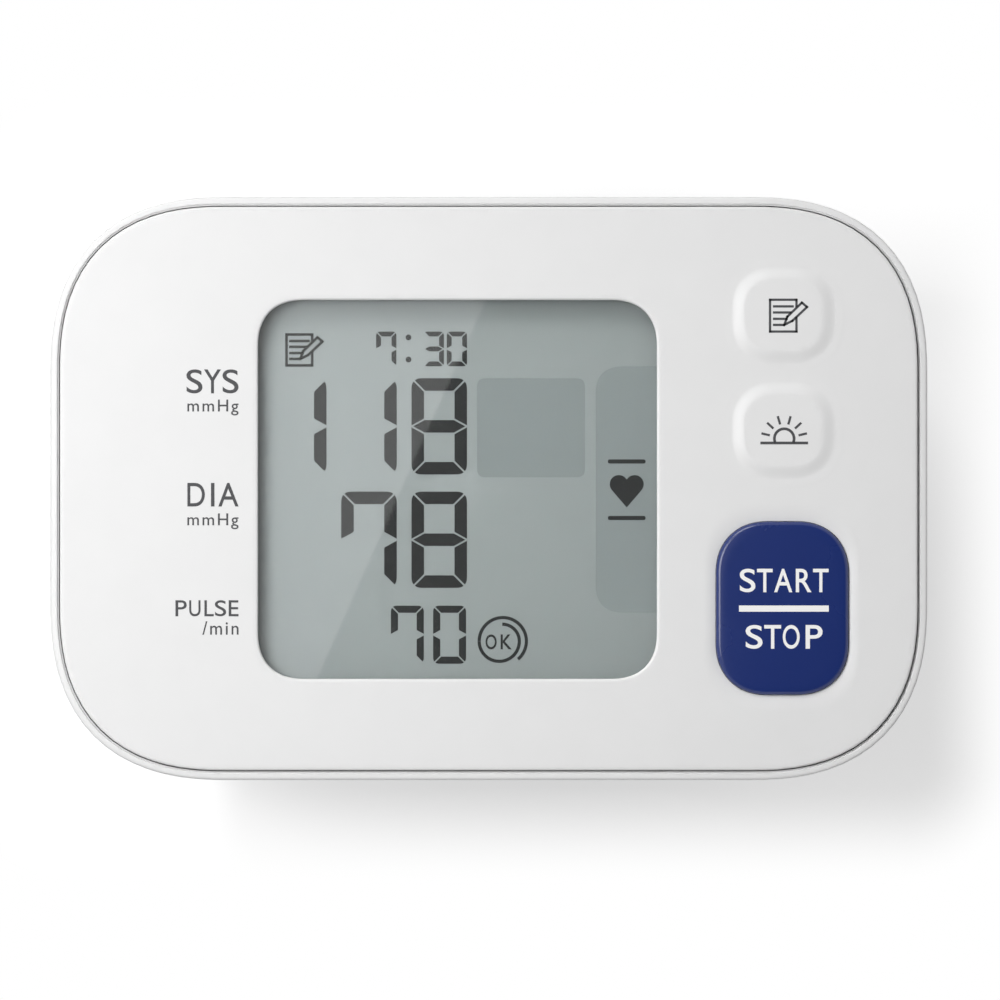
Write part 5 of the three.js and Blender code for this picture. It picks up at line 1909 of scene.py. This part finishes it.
@dataclass
class SewnSheet:
    """A sheet of the band that is sewn down at its edges and swells between them."""

    route: CuffRoute
    name: str
    node: str  # CAD node that it stands for
    slot: Slot
    finish: Finish
    depth: float  # of its middle below the band's outer face, where it is sewn down
    inward: bool  # whether it swells towards the wrist
    swell: float  # how far a point may move
    seams: tuple[float, ...] = ()  # distances from the middle where it is sewn through
    seam_half: float = 0.7
    sewn: float = 4.2
    thick: float = 0.6
    cuts: int = 43
    big: float = 10.0  # the cloth is worked out this many times larger
    frames: int = 20
    fill: float = 0.5

    def flat(self) -> BMesh:
        """Makes the sheet as it is cut, lying along the band.

        Returns:
            The sheet.
        """
        bm = bmesh.new()
        ends = [bm.verts.new(self.route.point(self.depth, y)) for y in (-self.route.half, self.route.half)]
        bmesh.ops.subdivide_edges(bm, edges=[bm.edges.new(ends)], cuts=self.cuts)
        sweep(bm, bm.edges[:], self.route.stations())
        bmesh.ops.recalc_face_normals(bm, faces=bm.faces)
        outward = max(bm.faces, key=lambda face: face.calc_center_median().x)
        if (outward.normal.x > 0) == self.inward:
            bmesh.ops.reverse_faces(bm, faces=bm.faces[:])
        return bm

    def held(self, sheet: Mesh) -> list[int]:
        """Finds the points that the seams hold.

        Args:
            sheet: The sheet, in millimetres.

        Returns:
            Their numbers.
        """
        length = self.route.stations()[-1].along
        found = []
        for vert, item in zip(sheet.vertices, sheet.attributes["along"].data):
            y, along = abs(vert.co.y), item.value / MM
            at_edge = y > self.route.half - self.sewn
            at_end = along < self.sewn or along > length - self.sewn
            if at_edge or at_end or any(abs(y - seam) < self.seam_half for seam in self.seams):
                found.append(vert.index)
        return found

    def swollen(self, bm: BMesh) -> BMesh:
        """Lets the sheet swell as cloth under pressure, and caps how far it goes.

        Args:
            bm: The flat sheet, which is used up.

        Returns:
            The swollen sheet.
        """
        made = linked("scratch", mesh_of("scratch", bm))
        flat = [(vert.co.copy(), vert.normal.copy()) for vert in made.data.vertices]
        group = made.vertex_groups.new(name="held")
        group.add(self.held(made.data), 1.0, "REPLACE")
        made.data.transform(Matrix.Scale(self.big * MM, 4))
        settings = made.modifiers.new("swell", "CLOTH").settings
        settings.vertex_group_mass = group.name
        settings.effector_weights.gravity = 0.0
        for name, value in CLOTH.items():
            setattr(settings, name, value)
        scene = bpy.context.scene
        for number in range(1, self.frames + 1):
            scene.frame_set(number)
        result = finished(made)
        scene.frame_set(1)
        bmesh.ops.scale(result, vec=(1 / self.big / MM,) * 3, verts=result.verts)
        for vert, (rest, out) in zip(result.verts, flat):
            moved = vert.co - rest
            moved -= out * min(moved.dot(out), 0.0)
            if moved.length > self.swell:
                moved *= self.swell / moved.length
            vert.co = rest + moved
        return result

    def build(self) -> None:
        """Makes the piece."""
        bm = self.flat()
        bm = self.swollen(bm)
        piece = Piece(self.name, self.slot, stands_for=(self.node,), sharp=math.pi)
        made = piece.make(bm, self.finish)
        thickened(made, self.thick, 0.0)


@dataclass
class Cuff:
    """The padded band: cloth, lining, edge tapes and their stitches, and the bag of air between."""

    route: CuffRoute = CuffRoute()
    tape_inner: float = 21.6
    tape_flat: float = 26.4
    tape_low: float = 0.12
    tape_bulge: float = 1.55
    tape_thick: float = 0.45
    tape_cuts: int = 3
    end_low: float = 0.06
    end_leg: float = 4.6
    end_half: float = 27.3
    end_steps: int = 26
    end_corner: float = 0.12  # a point this near to an end of an end tape is a corner
    end_pull: float = 0.72  # scale that pulls the corners in
    first_stitch: int = 2
    stitch_pitch: int = 2
    stitch_row: float = 22.9
    stitch_depth: float = 0.18
    bag_depth: float = 2.1
    bag_thick: float = 1.7
    bag_half: float = 25.6
    bag_reach: float = 0.48  # over its thickness
    bag_fill: float = 0.2

    def tape(self, side: int) -> BMesh:
        """Folds a tape round one long edge of the band.

        Args:
            side: 1 for the upper edge, -1 for the lower.

        Returns:
            The tape, without thickness.
        """
        bm = bmesh.new()
        deep = self.route.thick / 2
        start, middle = [self.route.point(depth, self.tape_flat) for depth in (self.tape_low, deep)]
        shrink = Vector((1, self.tape_bulge / (deep - self.tape_low), 1))
        ends = folded(bm, start, middle, Vector((0, 0, 1)), shrink)
        legs = [bm.edges.new((end, bm.verts.new((end.co.x, self.tape_inner, end.co.z)))) for end in ends]
        bmesh.ops.subdivide_edges(bm, edges=legs, cuts=self.tape_cuts)
        sweep(bm, bm.edges[:], self.route.stations())
        bmesh.ops.scale(bm, vec=(1, side, 1), verts=bm.verts)
        bmesh.ops.recalc_face_normals(bm, faces=bm.faces)
        return bm

    def end_tape(self, last: bool) -> BMesh:
        """Folds a tape round one end of the band.

        Args:
            last: Whether it is the end at the tail's root.

        Returns:
            The tape, without thickness.
        """
        bm = bmesh.new()
        deep = self.route.thick / 2
        start, middle = [self.route.point(depth, 0) for depth in (self.end_low, deep)]
        shrink = Vector((1, 1, self.tape_bulge / (deep - self.end_low)))
        for end in folded(bm, start, middle, Vector((0, 1, 0)), shrink):
            bm.edges.new((end, bm.verts.new(end.co + Vector((0, 0, self.end_leg)))))
        along, across = [bm.verts.layers.float.new(name) for name in ("along", "across")]
        shifted(bm, 0, -self.end_half)
        edges, verts = bm.edges[:], bm.verts[:]
        bmesh.ops.contextual_create(bm, geom=verts)
        for vert in verts:
            vert[across] = (vert.co.x + vert.co.z) * MM
        for _ in range(self.end_steps):
            edges, verts = extruded(bm, edges)
            bmesh.ops.translate(bm, vec=(0, 2 * self.end_half / self.end_steps, 0), verts=verts)
            for vert in verts:
                vert[along] = vert.co.y * MM
        bmesh.ops.contextual_create(bm, geom=verts)
        around = Matrix.Translation(-middle)
        corners = [vert for vert in bm.verts if abs(vert.co.y) > self.end_half - self.end_corner]
        bmesh.ops.scale(bm, vec=(self.end_pull, 1, self.end_pull), space=around, verts=corners)
        if last:
            bmesh.ops.scale(bm, vec=(1, 1, -1), space=around, verts=bm.verts)
            bmesh.ops.transform(bm, matrix=self.route.stations()[-1].carry, verts=bm.verts)
        bmesh.ops.recalc_face_normals(bm, faces=bm.faces)
        return bm

    def stitches(self) -> BMesh:
        """Sews the tapes down with rows of stitches on both faces.

        Returns:
            The stitches.
        """
        depths, rows = (self.stitch_depth, self.route.thick - self.stitch_depth), (-1, 1)
        places = [self.route.point(depth, row * self.stitch_row) for depth in depths for row in rows]
        bm = bmesh.new()
        for station in self.route.stations()[self.first_stitch :: self.stitch_pitch]:
            sew(bm, places, station.carry)
        return bm

    def bag(self) -> BMesh:
        """Makes the flat bag of air inside the band.

        Returns:
            The bag.
        """
        bm = bmesh.new()
        SoftOutline(self.bag_thick, 2 * self.bag_half, self.bag_thick * self.bag_reach).ring(bm, 0)
        shifted(bm, *self.route.point(self.bag_depth + self.bag_thick / 2, 0))
        return closed_sweep(bm, self.route.stations())

    def build(self) -> None:
        """Makes the band's pieces."""
        SewnSheet(
            self.route, "cuff_outer_cloth", "cuff_cover", Slot.CLOTH, CUFF_CLOTH,
            depth=0.95, inward=False, swell=0.55,
        ).build()
        SewnSheet(
            self.route, "cuff_inner_cloth", "cuff_lining", Slot.LINING, CUFF_LINING,
            depth=4.25, inward=True, swell=1.5, seams=(8.5,),
        ).build()
        tapes = (
            ("cuff_edge_tape_top", ("cuff_binding_top",), self.tape(1)),
            ("cuff_edge_tape_bottom", ("cuff_binding_bottom",), self.tape(-1)),
            ("cuff_end_tapes", (), added(self.end_tape(False), self.end_tape(True))),
        )
        for name, nodes, bm in tapes:
            made = Piece(name, Slot.CLOTH, stands_for=nodes).make(bm, EDGE_TAPE)
            thickened(made, self.tape_thick, -1.0)
        Piece("cuff_stitches", Slot.CLOTH).make(self.stitches(), THREAD)
        bag = Piece("cuff_air_bag", Slot.FILM, stands_for=("cuff_bladder",))
        bag.make(self.bag(), FILM)


@dataclass
class Tail:
    """The strap that closes the cuff, with its hook patch."""

    thick: float = 2.2
    half: float = 24.6
    reach: float = 0.45  # of its edges, over its thickness
    cuts: int = 30
    tip_round: float = 9.0
    tip_left: float = 0.3  # the tip is as wide as the strap is this far from it
    per_leg: int = 10
    bend_start: tuple[float, float, float] = (0.0318, 0, 0.0068)  # in metres
    bend_end: tuple[float, float, float] = (0.0345, 0, 0.0135)
    hook_low: float = 28.2
    hook_high: float = 39.6
    hook_half: float = 21.6
    hook_pitch: float = 1.3
    hook_tall: float = 0.44
    hook_head: float = 0.75  # height where the head begins, over the hook's
    stem_radii: Point = (0.16, 0.12)  # at the low and at the high end
    head_radii: Point = (0.14, 0.3)
    hook_segments: int = 6
    backing: float = 0.3
    backing_reach: float = 0.4  # over its thickness
    backing_gap: float = 0.02
    stitch_inset: float = 2.2
    stitch_pitch: float = 2.4
    first_stitch: float = 7.0

    def route(self) -> list[Vector]:
        """Draws the strap's outer face seen along Y.

        Returns:
            Its points, from inside the band's end to the tip.
        """
        places = (
            (30.2, 5.6), (32.33, 7.82), (34.5, 13.05), (36.7, 20.05), (38.3, 27.0), (38.6, 34.0),
            (38.2, 40.0), (36.5, 45.0),
        )
        corners = [Vector((x, 0, z)) for x, z in places]
        ends = [2 * corners[0] - corners[1], *corners, 2 * corners[-1] - corners[-2]]
        points = []
        for before, start, end, after in zip(ends, ends[1:], ends[2:], ends[3:]):
            # A sixth of the way between the neighbours makes the legs meet smoothly.
            leave, arrive = start + (end - before) / 6, end - (after - start) / 6
            points += interpolate_bezier(start, leave, arrive, end, self.per_leg)[:-1]
        return [*points, corners[-1]]

    def stations(self) -> list[Station]:
        """Walks along the strap.

        Returns:
            Stations that carry a section drawn at the origin across X and Y.
        """
        points = self.route()
        found, along = [], 0.0
        for before, point, after in zip([points[0], *points], points, [*points[1:], points[-1]]):
            along += (point - before).length
            way = (after - before).normalized()
            turn = Matrix((Vector((way.z, 0, -way.x)), Vector((0, 1, 0)), way)).transposed().to_4x4()
            found.append(Station(along, Matrix.Translation(point) @ turn))
        return found

    def share(self, left: float) -> float:
        """Tells how wide the strap is near its tip.

        Args:
            left: Distance from the tip.

        Returns:
            The width there over the full width.
        """
        short = max(self.tip_round - max(left, self.tip_left), 0.0)
        inward = self.tip_round - math.sqrt(self.tip_round**2 - short**2)
        return (self.half - inward) / self.half

    def bent(self, made: Object) -> None:
        """Lets a piece bend at the strap's root."""
        housing, tail = Body.HOUSING.value, Body.TAIL.value
        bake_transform(made, housing, tail, start=self.bend_start, end=self.bend_end)

    def strap(self) -> None:
        """Makes the strap."""
        stations = self.stations()
        bm = bmesh.new()
        section = SoftOutline(self.thick, 2 * self.half, self.thick * self.reach, -self.thick / 2, 0)
        longest = sorted(section.ring(bm, 0), key=BMEdge.calc_length)[-2:]
        bmesh.ops.subdivide_edges(bm, edges=longest, cuts=self.cuts)
        bmesh.ops.transform(bm, matrix=stations[0].carry, verts=bm.verts)
        closed_sweep(bm, stations)
        along = bm.verts.layers.float["along"]
        for vert in bm.verts:
            vert.co.y *= self.share(stations[-1].along - vert[along] / MM)
        piece = Piece("cuff_closing_strap", Slot.CLOTH, None, ("cuff_tail",))
        self.bent(piece.make(bm, CUFF_CLOTH))

    def seam(self) -> None:
        """Sews the strap along its edges, on both faces."""
        stations = self.stations()
        bm = bmesh.new()
        next_at = self.first_stitch
        for station in stations:
            if station.along < next_at:
                continue
            next_at += self.stitch_pitch
            width = (self.half - self.stitch_inset) * self.share(stations[-1].along - station.along)
            places = [Vector((x, y, 0)) for x in (0.0, -self.thick) for y in (-width, width)]
            sew(bm, places, station.carry)
        self.bent(Piece("cuff_strap_stitches", Slot.CLOTH, None).make(bm, THREAD))

    def hook(self, place: Vector, carry: Matrix) -> BMesh:
        """Makes one hook that stands out of the strap's inner face.

        Args:
            place: Its place in the section drawn at the origin.
            carry: What carries that section to the hook.

        Returns:
            The hook: a thin stem with a wider head.
        """
        bm = bmesh.new()
        for low, radii in ((0, self.stem_radii), (self.hook_tall * self.hook_head, self.head_radii)):
            cone = bmesh.ops.create_cone(
                bm, cap_ends=True, segments=self.hook_segments, radius1=radii[0], radius2=radii[1],
                depth=self.hook_tall - low,
            )["verts"]
            bmesh.ops.translate(bm, vec=(0, 0, (low + self.hook_tall) / 2), verts=cone)
        turn = Matrix.Rotation(-math.pi / 2, 4, "Y")
        bmesh.ops.transform(bm, matrix=carry @ Matrix.Translation(place) @ turn, verts=bm.verts)
        return bm

    def hooks(self) -> None:
        """Makes the hook patch: a backing with rows of small hooks."""
        stations = [s for s in self.stations() if self.hook_low < s.carry.translation.z < self.hook_high]
        backing = self.backing
        middle = -self.thick - backing / 2 - self.backing_gap
        bm = bmesh.new()
        SoftOutline(backing, 2 * self.hook_half, backing * self.backing_reach, middle, 0).ring(bm, 0)
        bmesh.ops.transform(bm, matrix=stations[0].carry, verts=bm.verts)
        closed_sweep(bm, stations)
        count = int(2 * self.hook_half / self.hook_pitch) - 1
        for row, station in enumerate(stations[1:-1]):
            aside = 0.5 * (row % 2) - 0.25  # every other row stands half a pitch aside
            for place in range(count):
                y = (place - (count - 1) / 2 + aside) * self.hook_pitch
                added(bm, self.hook(Vector((-self.thick - backing, y, 0)), station.carry))
        Piece("hook_tape_patch", Slot.HOOK, Body.TAIL, ("hook_patch",)).make(bm, HOOK_TAPE)

    def build(self) -> None:
        """Makes the strap's pieces."""
        for make in (self.strap, self.seam, self.hooks):
            make()


@dataclass
class CuffPlate:
    """The plate that holds the cuff to the unit's back with four claws."""

    outline: SoftOutline = SoftOutline(46.0, 44.0, 4.0)
    thick: float = 2.0
    edge_round: float = 0.4
    edge_steps: int = 4
    claw: Point = (1.0, 3.0)  # half of its width and length
    claw_top: float = 2.3
    lip: float = 0.8
    lip_low: float = 1.5
    lip_inset: float = 0.01

    def build(self) -> None:
        """Makes the piece."""
        low, high = [
            rounded(lambda inset: self.outline.grown(-inset), self.edge_round, flat, self.edge_steps, way)
            for flat, way in ((-self.thick, -1), (0.0, 1))
        ]
        plate = closed_loft([*reversed(low), *high])
        wide, long = self.claw
        lip_half, lip_top = long - self.lip_inset, self.claw_top - self.lip_inset
        for x, y in CLAWS:
            left, right = x - wide, x + wide
            out = math.copysign(self.lip, x)
            claw = carve(
                block((left, y - long, -PAST), (right, y + long, self.claw_top)),
                block(
                    (min(left, left + out), y - lip_half, self.lip_low),
                    (max(right, right + out), y + lip_half, lip_top),
                ),
                Carve.TOGETHER,
            )
            plate = carve(plate, claw, Carve.TOGETHER)
        foot = -self.thick - PAST
        port = [(0, foot), (AIR_PORT_RADIUS, foot), (AIR_PORT_RADIUS, PAST), (0, PAST)]
        plate = carve(plate, turned(port, *AIR_PORT), Carve.AWAY)
        piece = Piece("cuff_plate", Slot.GREY_PLASTIC, stands_for=("cuff_base_plate",), lift=BACK)
        piece.make(plate, GREY_PLASTIC)


# Inside the unit

CELL_AXIS = 6.5  # height of the cells' and springs' axes
LEFT_CELL, RIGHT_CELL = -37.45, -27.3  # places of their axes
BOARD_TOP = 10.0


@dataclass
class Screw:
    """A screw with a domed head and a cross recess, its head below."""

    name: str
    place: Point
    seat: float  # height of the head's seat
    radius: float = 1.0
    head_radius: float = 2.0
    head: float = 1.5
    length: float = 7.8
    dome: float = 0.35
    point: float = 0.6

    def build(self) -> None:
        """Makes the piece."""
        low, end, wide = self.seat - self.head, self.seat + self.length, self.head_radius
        body = turned([
            (0, low), (wide * 0.55, low + 0.06), (wide * 0.85, low + self.dome * 0.6),
            (wide, low + self.dome + 0.2), (wide, self.seat), (self.radius, self.seat),
            (self.radius, end - self.point), (self.radius * 0.5, end), (0, end),
        ], *self.place)
        reach, slim, deep = wide * 0.6, wide * 0.13, low + self.head * 0.55
        x, y = self.place
        for across, along in ((reach, slim), (slim, reach)):
            tool = block((x - across, y - along, low - PAST), (x + across, y + along, deep))
            body = carve(body, tool, Carve.AWAY)
        Piece(f"{self.name}_cross", Slot.STEEL, stands_for=(self.name,), lift=BACK).make(body, STEEL)


@dataclass
class Cell:
    """A dry cell with a plain dark jacket and a copper-coloured band at its plus end."""

    node: str
    x: float
    plus: int  # 1 where its plus end is up the display, -1 where it is down
    radius: float = 5.0
    half: float = 21.6
    nub: float = 0.8
    nub_radius: float = 1.9
    band: float = 9.0

    def build(self) -> None:
        """Makes the piece."""
        radius, half, nub, top = self.radius, self.half, self.nub_radius, self.half + self.nub
        edge, crimp = radius - 0.45, radius - 0.25
        bm = turned([
            (0, 0.25 - half), (edge - 0.6, 0.25 - half), (edge - 0.5, -half), (crimp, -half),
            (radius, 0.3 - half), (radius, half - self.band), (radius, half - 0.35), (crimp, half - 0.05),
            (edge, half - 0.05), (edge - 0.2, half - 0.3), (nub + 0.3, half - 0.3), (nub, half),
            (nub, top - 0.2), (nub - 0.2, top), (0, top),
        ])
        for face in bm.faces:
            middle = face.calc_center_median()
            if middle.xy.length <= radius - 0.3:
                face.material_index = 2
            elif middle.z > half - self.band:
                face.material_index = 1
        turn = Matrix.Rotation(-self.plus * math.pi / 2, 3, "X")
        bmesh.ops.rotate(bm, cent=(0, 0, 0), matrix=turn, verts=bm.verts)
        piece = Piece(f"{self.node}_cell", Slot.CELL, stands_for=(self.node,), lift=BACK)
        piece.make(shifted(bm, self.x, 0, CELL_AXIS), CELL_JACKET, CELL_BAND, NICKEL)


@dataclass
class Spring:
    """A coned battery spring of round wire."""

    node: str
    x: float
    side: int  # -1 where it stands at the display's lower end, 1 at the upper
    foot: float = 23.7
    wire: float = 0.2
    turns: float = 2.5
    base: float = 3.0
    tip: float = 1.2
    length: float = 1.8
    steps: int = 60

    def build(self) -> None:
        """Makes the piece."""
        curve = bpy.data.curves.new("coil", "CURVE")
        curve.dimensions = "3D"
        curve.bevel_depth = self.wire
        curve.bevel_resolution = 2
        curve.use_fill_caps = True
        line = curve.splines.new("POLY")
        line.points.add(self.steps)
        for number, point in enumerate(line.points):
            share = number / self.steps
            angle = 2 * math.pi * self.turns * share
            radius = self.base + (self.tip - self.base) * share
            rise = self.wire + (self.length - 2 * self.wire) * share
            x, z = self.x + radius * math.cos(angle), CELL_AXIS + radius * math.sin(angle)
            point.co = (x, self.side * (self.foot - rise), z, 1)
        piece = Piece(f"{self.node}_coil", Slot.NICKEL, stands_for=(self.node,), lift=BACK)
        piece.make(tidy(finished(linked("coil", curve))), NICKEL)


@dataclass
class Dome:
    """A rubber dome on the board, under its key."""

    node: str
    key: SoftOutline
    foot: float  # radius of its foot
    joint: str
    keep: float  # share of its height that is left when the key is down
    height: float = 1.9
    flange: float = 0.3
    round_by: float = 0.15
    dimple: float = 0.12

    def build(self) -> None:
        """Makes the piece."""
        foot, edge = self.foot, self.round_by
        top, low, high = foot * 0.6, BOARD_TOP + self.flange, BOARD_TOP + self.height
        profile = [
            (0, BOARD_TOP), (foot, BOARD_TOP), (foot, low - edge), (foot - edge, low), (foot * 0.86, low),
            (foot * 0.74, low + 0.35), (top + 0.15, high - 0.65), (top, high - 0.5), (top, high - edge),
            (top - edge, high), (top * 0.45, high), (top * 0.4, high - self.dimple),
            (0, high - self.dimple),
        ]
        piece = Piece(f"{self.node}_rubber", Slot.SILICONE, stands_for=(self.node,), lift=BACK)
        made = piece.make(turned(profile, self.key.x, self.key.y), SILICONE)
        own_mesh(made)


class InnerWorks:
    """What the closed case holds: new pieces, and CAD nodes that only take a finish."""

    dressed: dict[Finish, tuple[str, ...]] = {
        BLACK_PLASTIC: ("lens_gasket", "pump_frame", "release_valve"),
        GREY_PLASTIC: ("lcd_frame", "pump_head", "air_manifold", "air_port"),
        RUBBER: ("zebra_strip", "pump_diaphragm"),
        SILICONE: ("pump_tube", "valve_tube"),
        BOARD: ("main_board",),
        CHIP: ("processor_chip", "memory_chip", "pressure_sensor"),
        STEEL: ("pump_crank", "pump_motor", "valve_plunger"),
        NICKEL: ("battery_contact_plus", "battery_contact_minus", "battery_contact_bridge"),
        RED_WIRE: ("motor_lead_red", "valve_lead_red"),
        BLACK_WIRE: ("motor_lead_black", "valve_lead_black"),
        FILM: ("cuff_curler",),
    }

    def dress(self) -> None:
        """Gives each node whose shape is right its finish."""
        for finish, names in self.dressed.items():
            for name in names:
                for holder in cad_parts[name].material_slots:
                    holder.link = "OBJECT"
                    holder.material = finish.material()
            LOG.info("%s: %s", finish.name, ", ".join(names))

    def build(self) -> None:
        """Makes the domes, cells, springs and screws, and dresses the rest."""
        Dome("start_dome", START, foot=4.0, joint="start_press", keep=0.7).build()
        Dome("memory_dome", MEMORY, foot=3.0, joint="memory_press", keep=0.86).build()
        Dome("average_dome", AVERAGE, foot=3.0, joint="average_press", keep=0.86).build()
        Cell("battery_left", LEFT_CELL, 1).build()
        Cell("battery_right", RIGHT_CELL, -1).build()
        Spring("battery_spring_left", LEFT_CELL, -1).build()
        Spring("battery_spring_right", RIGHT_CELL, 1).build()
        for number, place in enumerate(CASE_SCREWS, 1):
            Screw(f"case_screw_{number}", place, CASE_SCREW_SEAT).build()
        for number, place in enumerate(BOARD_SCREWS, 1):
            Screw(
                f"board_screw_{number}", place, BOARD_SCREW_SEAT, radius=0.8, head_radius=1.6, head=1.0,
                length=3.9,
            ).build()
        self.dress()


# Studio


@dataclass(frozen=True)
class Lamp:
    """A soft rectangular lamp; its sizes are in metres."""

    name: str
    place: tuple[float, float, float]
    target: tuple[float, float, float]
    size: Point
    glow: float  # how bright its surface is
    roll: float = 0.0  # turn about its own axis, in degrees

    def build(self) -> None:
        """Makes the lamp."""
        light = bpy.data.lights.new(self.name, "AREA")
        light.shape = "RECTANGLE"
        light.size, light.size_y = self.size
        light.energy = self.glow * math.pi * self.size[0] * self.size[1]
        made = linked(self.name, light)
        way = Vector(self.target) - Vector(self.place)
        turn = way.to_track_quat("-Z", "Y").to_matrix().to_4x4()
        roll = Matrix.Rotation(math.radians(self.roll), 4, "Z")
        made.matrix_world = Matrix.Translation(self.place) @ turn @ roll
        made.visible_camera = False


@dataclass
class Studio:
    """The camera, the lamps, the pale room and the floor."""

    view_x: float = 1.167
    view_y: float = -1.193
    view_width: float = 103.7
    distance: float = 1.2  # from the face, in metres
    sensor: float = 36.0
    far: float = 10.0
    fill: float = 0.44  # how bright the room is as a lamp, over how it looks
    zenith: float = 0.12  # how bright the room is straight above, over its sides
    zenith_start: float = 0.55
    zenith_end: float = 0.95
    floor_size: float = 6.0  # in metres
    floor_glow: float = 0.50  # how much brighter the floor below the object looks
    painted_white_start: float = 0.002  # painted white fades in over the floor's shadow between these distances from the case, in metres
    painted_white_end: float = 0.013
    floor_colour: Colour = (0.82, 0.82, 0.82)
    lamps: tuple[Lamp, ...] = (
        Lamp("key_lamp", (-0.13, 0.03, 0.32), (0, 0, 0.06), (0.12, 0.16), 7.9),
        Lamp("top_lamp", (-0.25, 0.55, 0.60), (0, 0, 0.06), (0.30, 0.30), 7.8),
        Lamp("glare_card", (-0.0370, 0.0108, 0.6678), (-0.0370, 0.0108, 0), (0.05, 0.14), 0.75, -24.0),
    )

    def camera(self) -> None:
        """Makes the camera, straight above the face."""
        data = bpy.data.cameras.new("camera")
        data.sensor_width = self.sensor
        data.lens = self.sensor * self.distance / (self.view_width * MM)
        data.clip_end = self.far
        made = linked("camera", data)
        made.location = (self.view_x * MM, self.view_y * MM, (BACK + FACE) * MM + self.distance)
        bpy.context.scene.camera = made

    def seen(self, graph: Graph) -> NodeSocket:
        """Tells rays that look at the room from rays that light it.

        Args:
            graph: Graph to add the test to.

        Returns:
            1 for the first kind.
        """
        path = graph.add("ShaderNodeLightPath").outputs
        either = graph.sum("MAXIMUM", path["Is Camera Ray"], path["Is Glossy Ray"])
        return graph.sum("MAXIMUM", either, path["Is Transmission Ray"])

    def room(self) -> None:
        """Makes the pale room, dimmer straight above, where the camera stands."""
        world = bpy.data.worlds.new("room")
        world.use_nodes = True
        bpy.context.scene.world = world
        graph = Graph(world.node_tree)
        way = graph.add("ShaderNodeTexCoord").outputs["Generated"]
        up = graph.add("ShaderNodeSeparateXYZ", {0: way}).outputs["Z"]
        dim = graph.ramp(up, self.zenith_start, self.zenith_end, 1.0, self.zenith)
        level = graph.sum("MULTIPLY", graph.spread(self.seen(graph), self.fill, 1.0), dim)
        graph.feed(graph.node("BACKGROUND"), {"Color": (1, 1, 1), "Strength": level})

    def beyond(self, graph: Graph) -> NodeSocket:
        """Gives how much painted white covers the floor; away from the case it hides the object's shadow.

        Args:
            graph: Graph of the floor's material.

        Returns:
            0 below the object, rising to 1 at a set distance from the case, where painted white hides the
            shadow.
        """
        half = (CASE.width * MM / 2, CASE.height * MM / 2, 0)
        place = graph.place()
        for how, other in (("ABSOLUTE", half), ("SUBTRACT", half), ("MAXIMUM", (0, 0, 0))):
            place = graph.add("ShaderNodeVectorMath", {0: place, 1: other}, operation=how).outputs[0]
        away = graph.add("ShaderNodeVectorMath", {0: place}, operation="LENGTH").outputs["Value"]
        return graph.ramp(away, self.painted_white_start, self.painted_white_end, 0.0, 1.0)

    def floor(self) -> None:
        """Makes the floor, white to the eye where lit, and painted white over the object's shadow away from
        the case.
        """
        bm = bmesh.new()
        bmesh.ops.create_grid(bm, x_segments=1, y_segments=1, size=self.floor_size / 2)
        made = linked("floor", mesh_of("floor", bm))
        material = bpy.data.materials.new("pale_floor")
        material.use_nodes = True
        made.data.materials.append(material)
        graph = Graph(material.node_tree)
        graph.tree.nodes.clear()
        matt = graph.add("ShaderNodeBsdfDiffuse", {"Color": self.floor_colour})
        seen = self.seen(graph)
        glow = graph.add("ShaderNodeEmission", {"Strength": graph.sum("MULTIPLY", seen, self.floor_glow)})
        near = graph.add("ShaderNodeAddShader", {0: matt.outputs[0], 1: glow.outputs[0]})
        # painted white, shown to the eye away from the case over the object's shadow
        white = graph.add("ShaderNodeEmission")
        share = graph.sum("MULTIPLY", seen, self.beyond(graph))
        floor = graph.add("ShaderNodeMixShader", {0: share, 1: near.outputs[0], 2: white.outputs[0]})
        graph.add("ShaderNodeOutputMaterial", {"Surface": floor.outputs[0]})

    def build(self) -> None:
        """Makes the studio."""
        bpy.context.scene.view_settings.view_transform = "Standard"
        self.camera()
        self.room()
        self.floor()
        for lamp in self.lamps:
            lamp.build()


def main() -> None:
    """Builds the object, piece by piece, and the studio round it."""
    logging.basicConfig(level=logging.INFO, format="%(message)s")
    Studio().build()
    RearCase().build()
    BatteryDoor().build()
    FrontCover().build()
    Legends().build()
    Display().build()
    StartKey().build()
    memory_sign = NotepadMark(x=29.16, y=16.27).draw()
    SoftKey("memory", MEMORY, Body.MEMORY_KEY, "memory_button").build(memory_sign)
    SoftKey("average", AVERAGE, Body.AVERAGE_KEY, "average_button").build(SunriseMark().draw())
    InnerWorks().build()
    CuffPlate().build()
    Cuff().build()
    Tail().build()


if __name__ == "__main__":
    main()
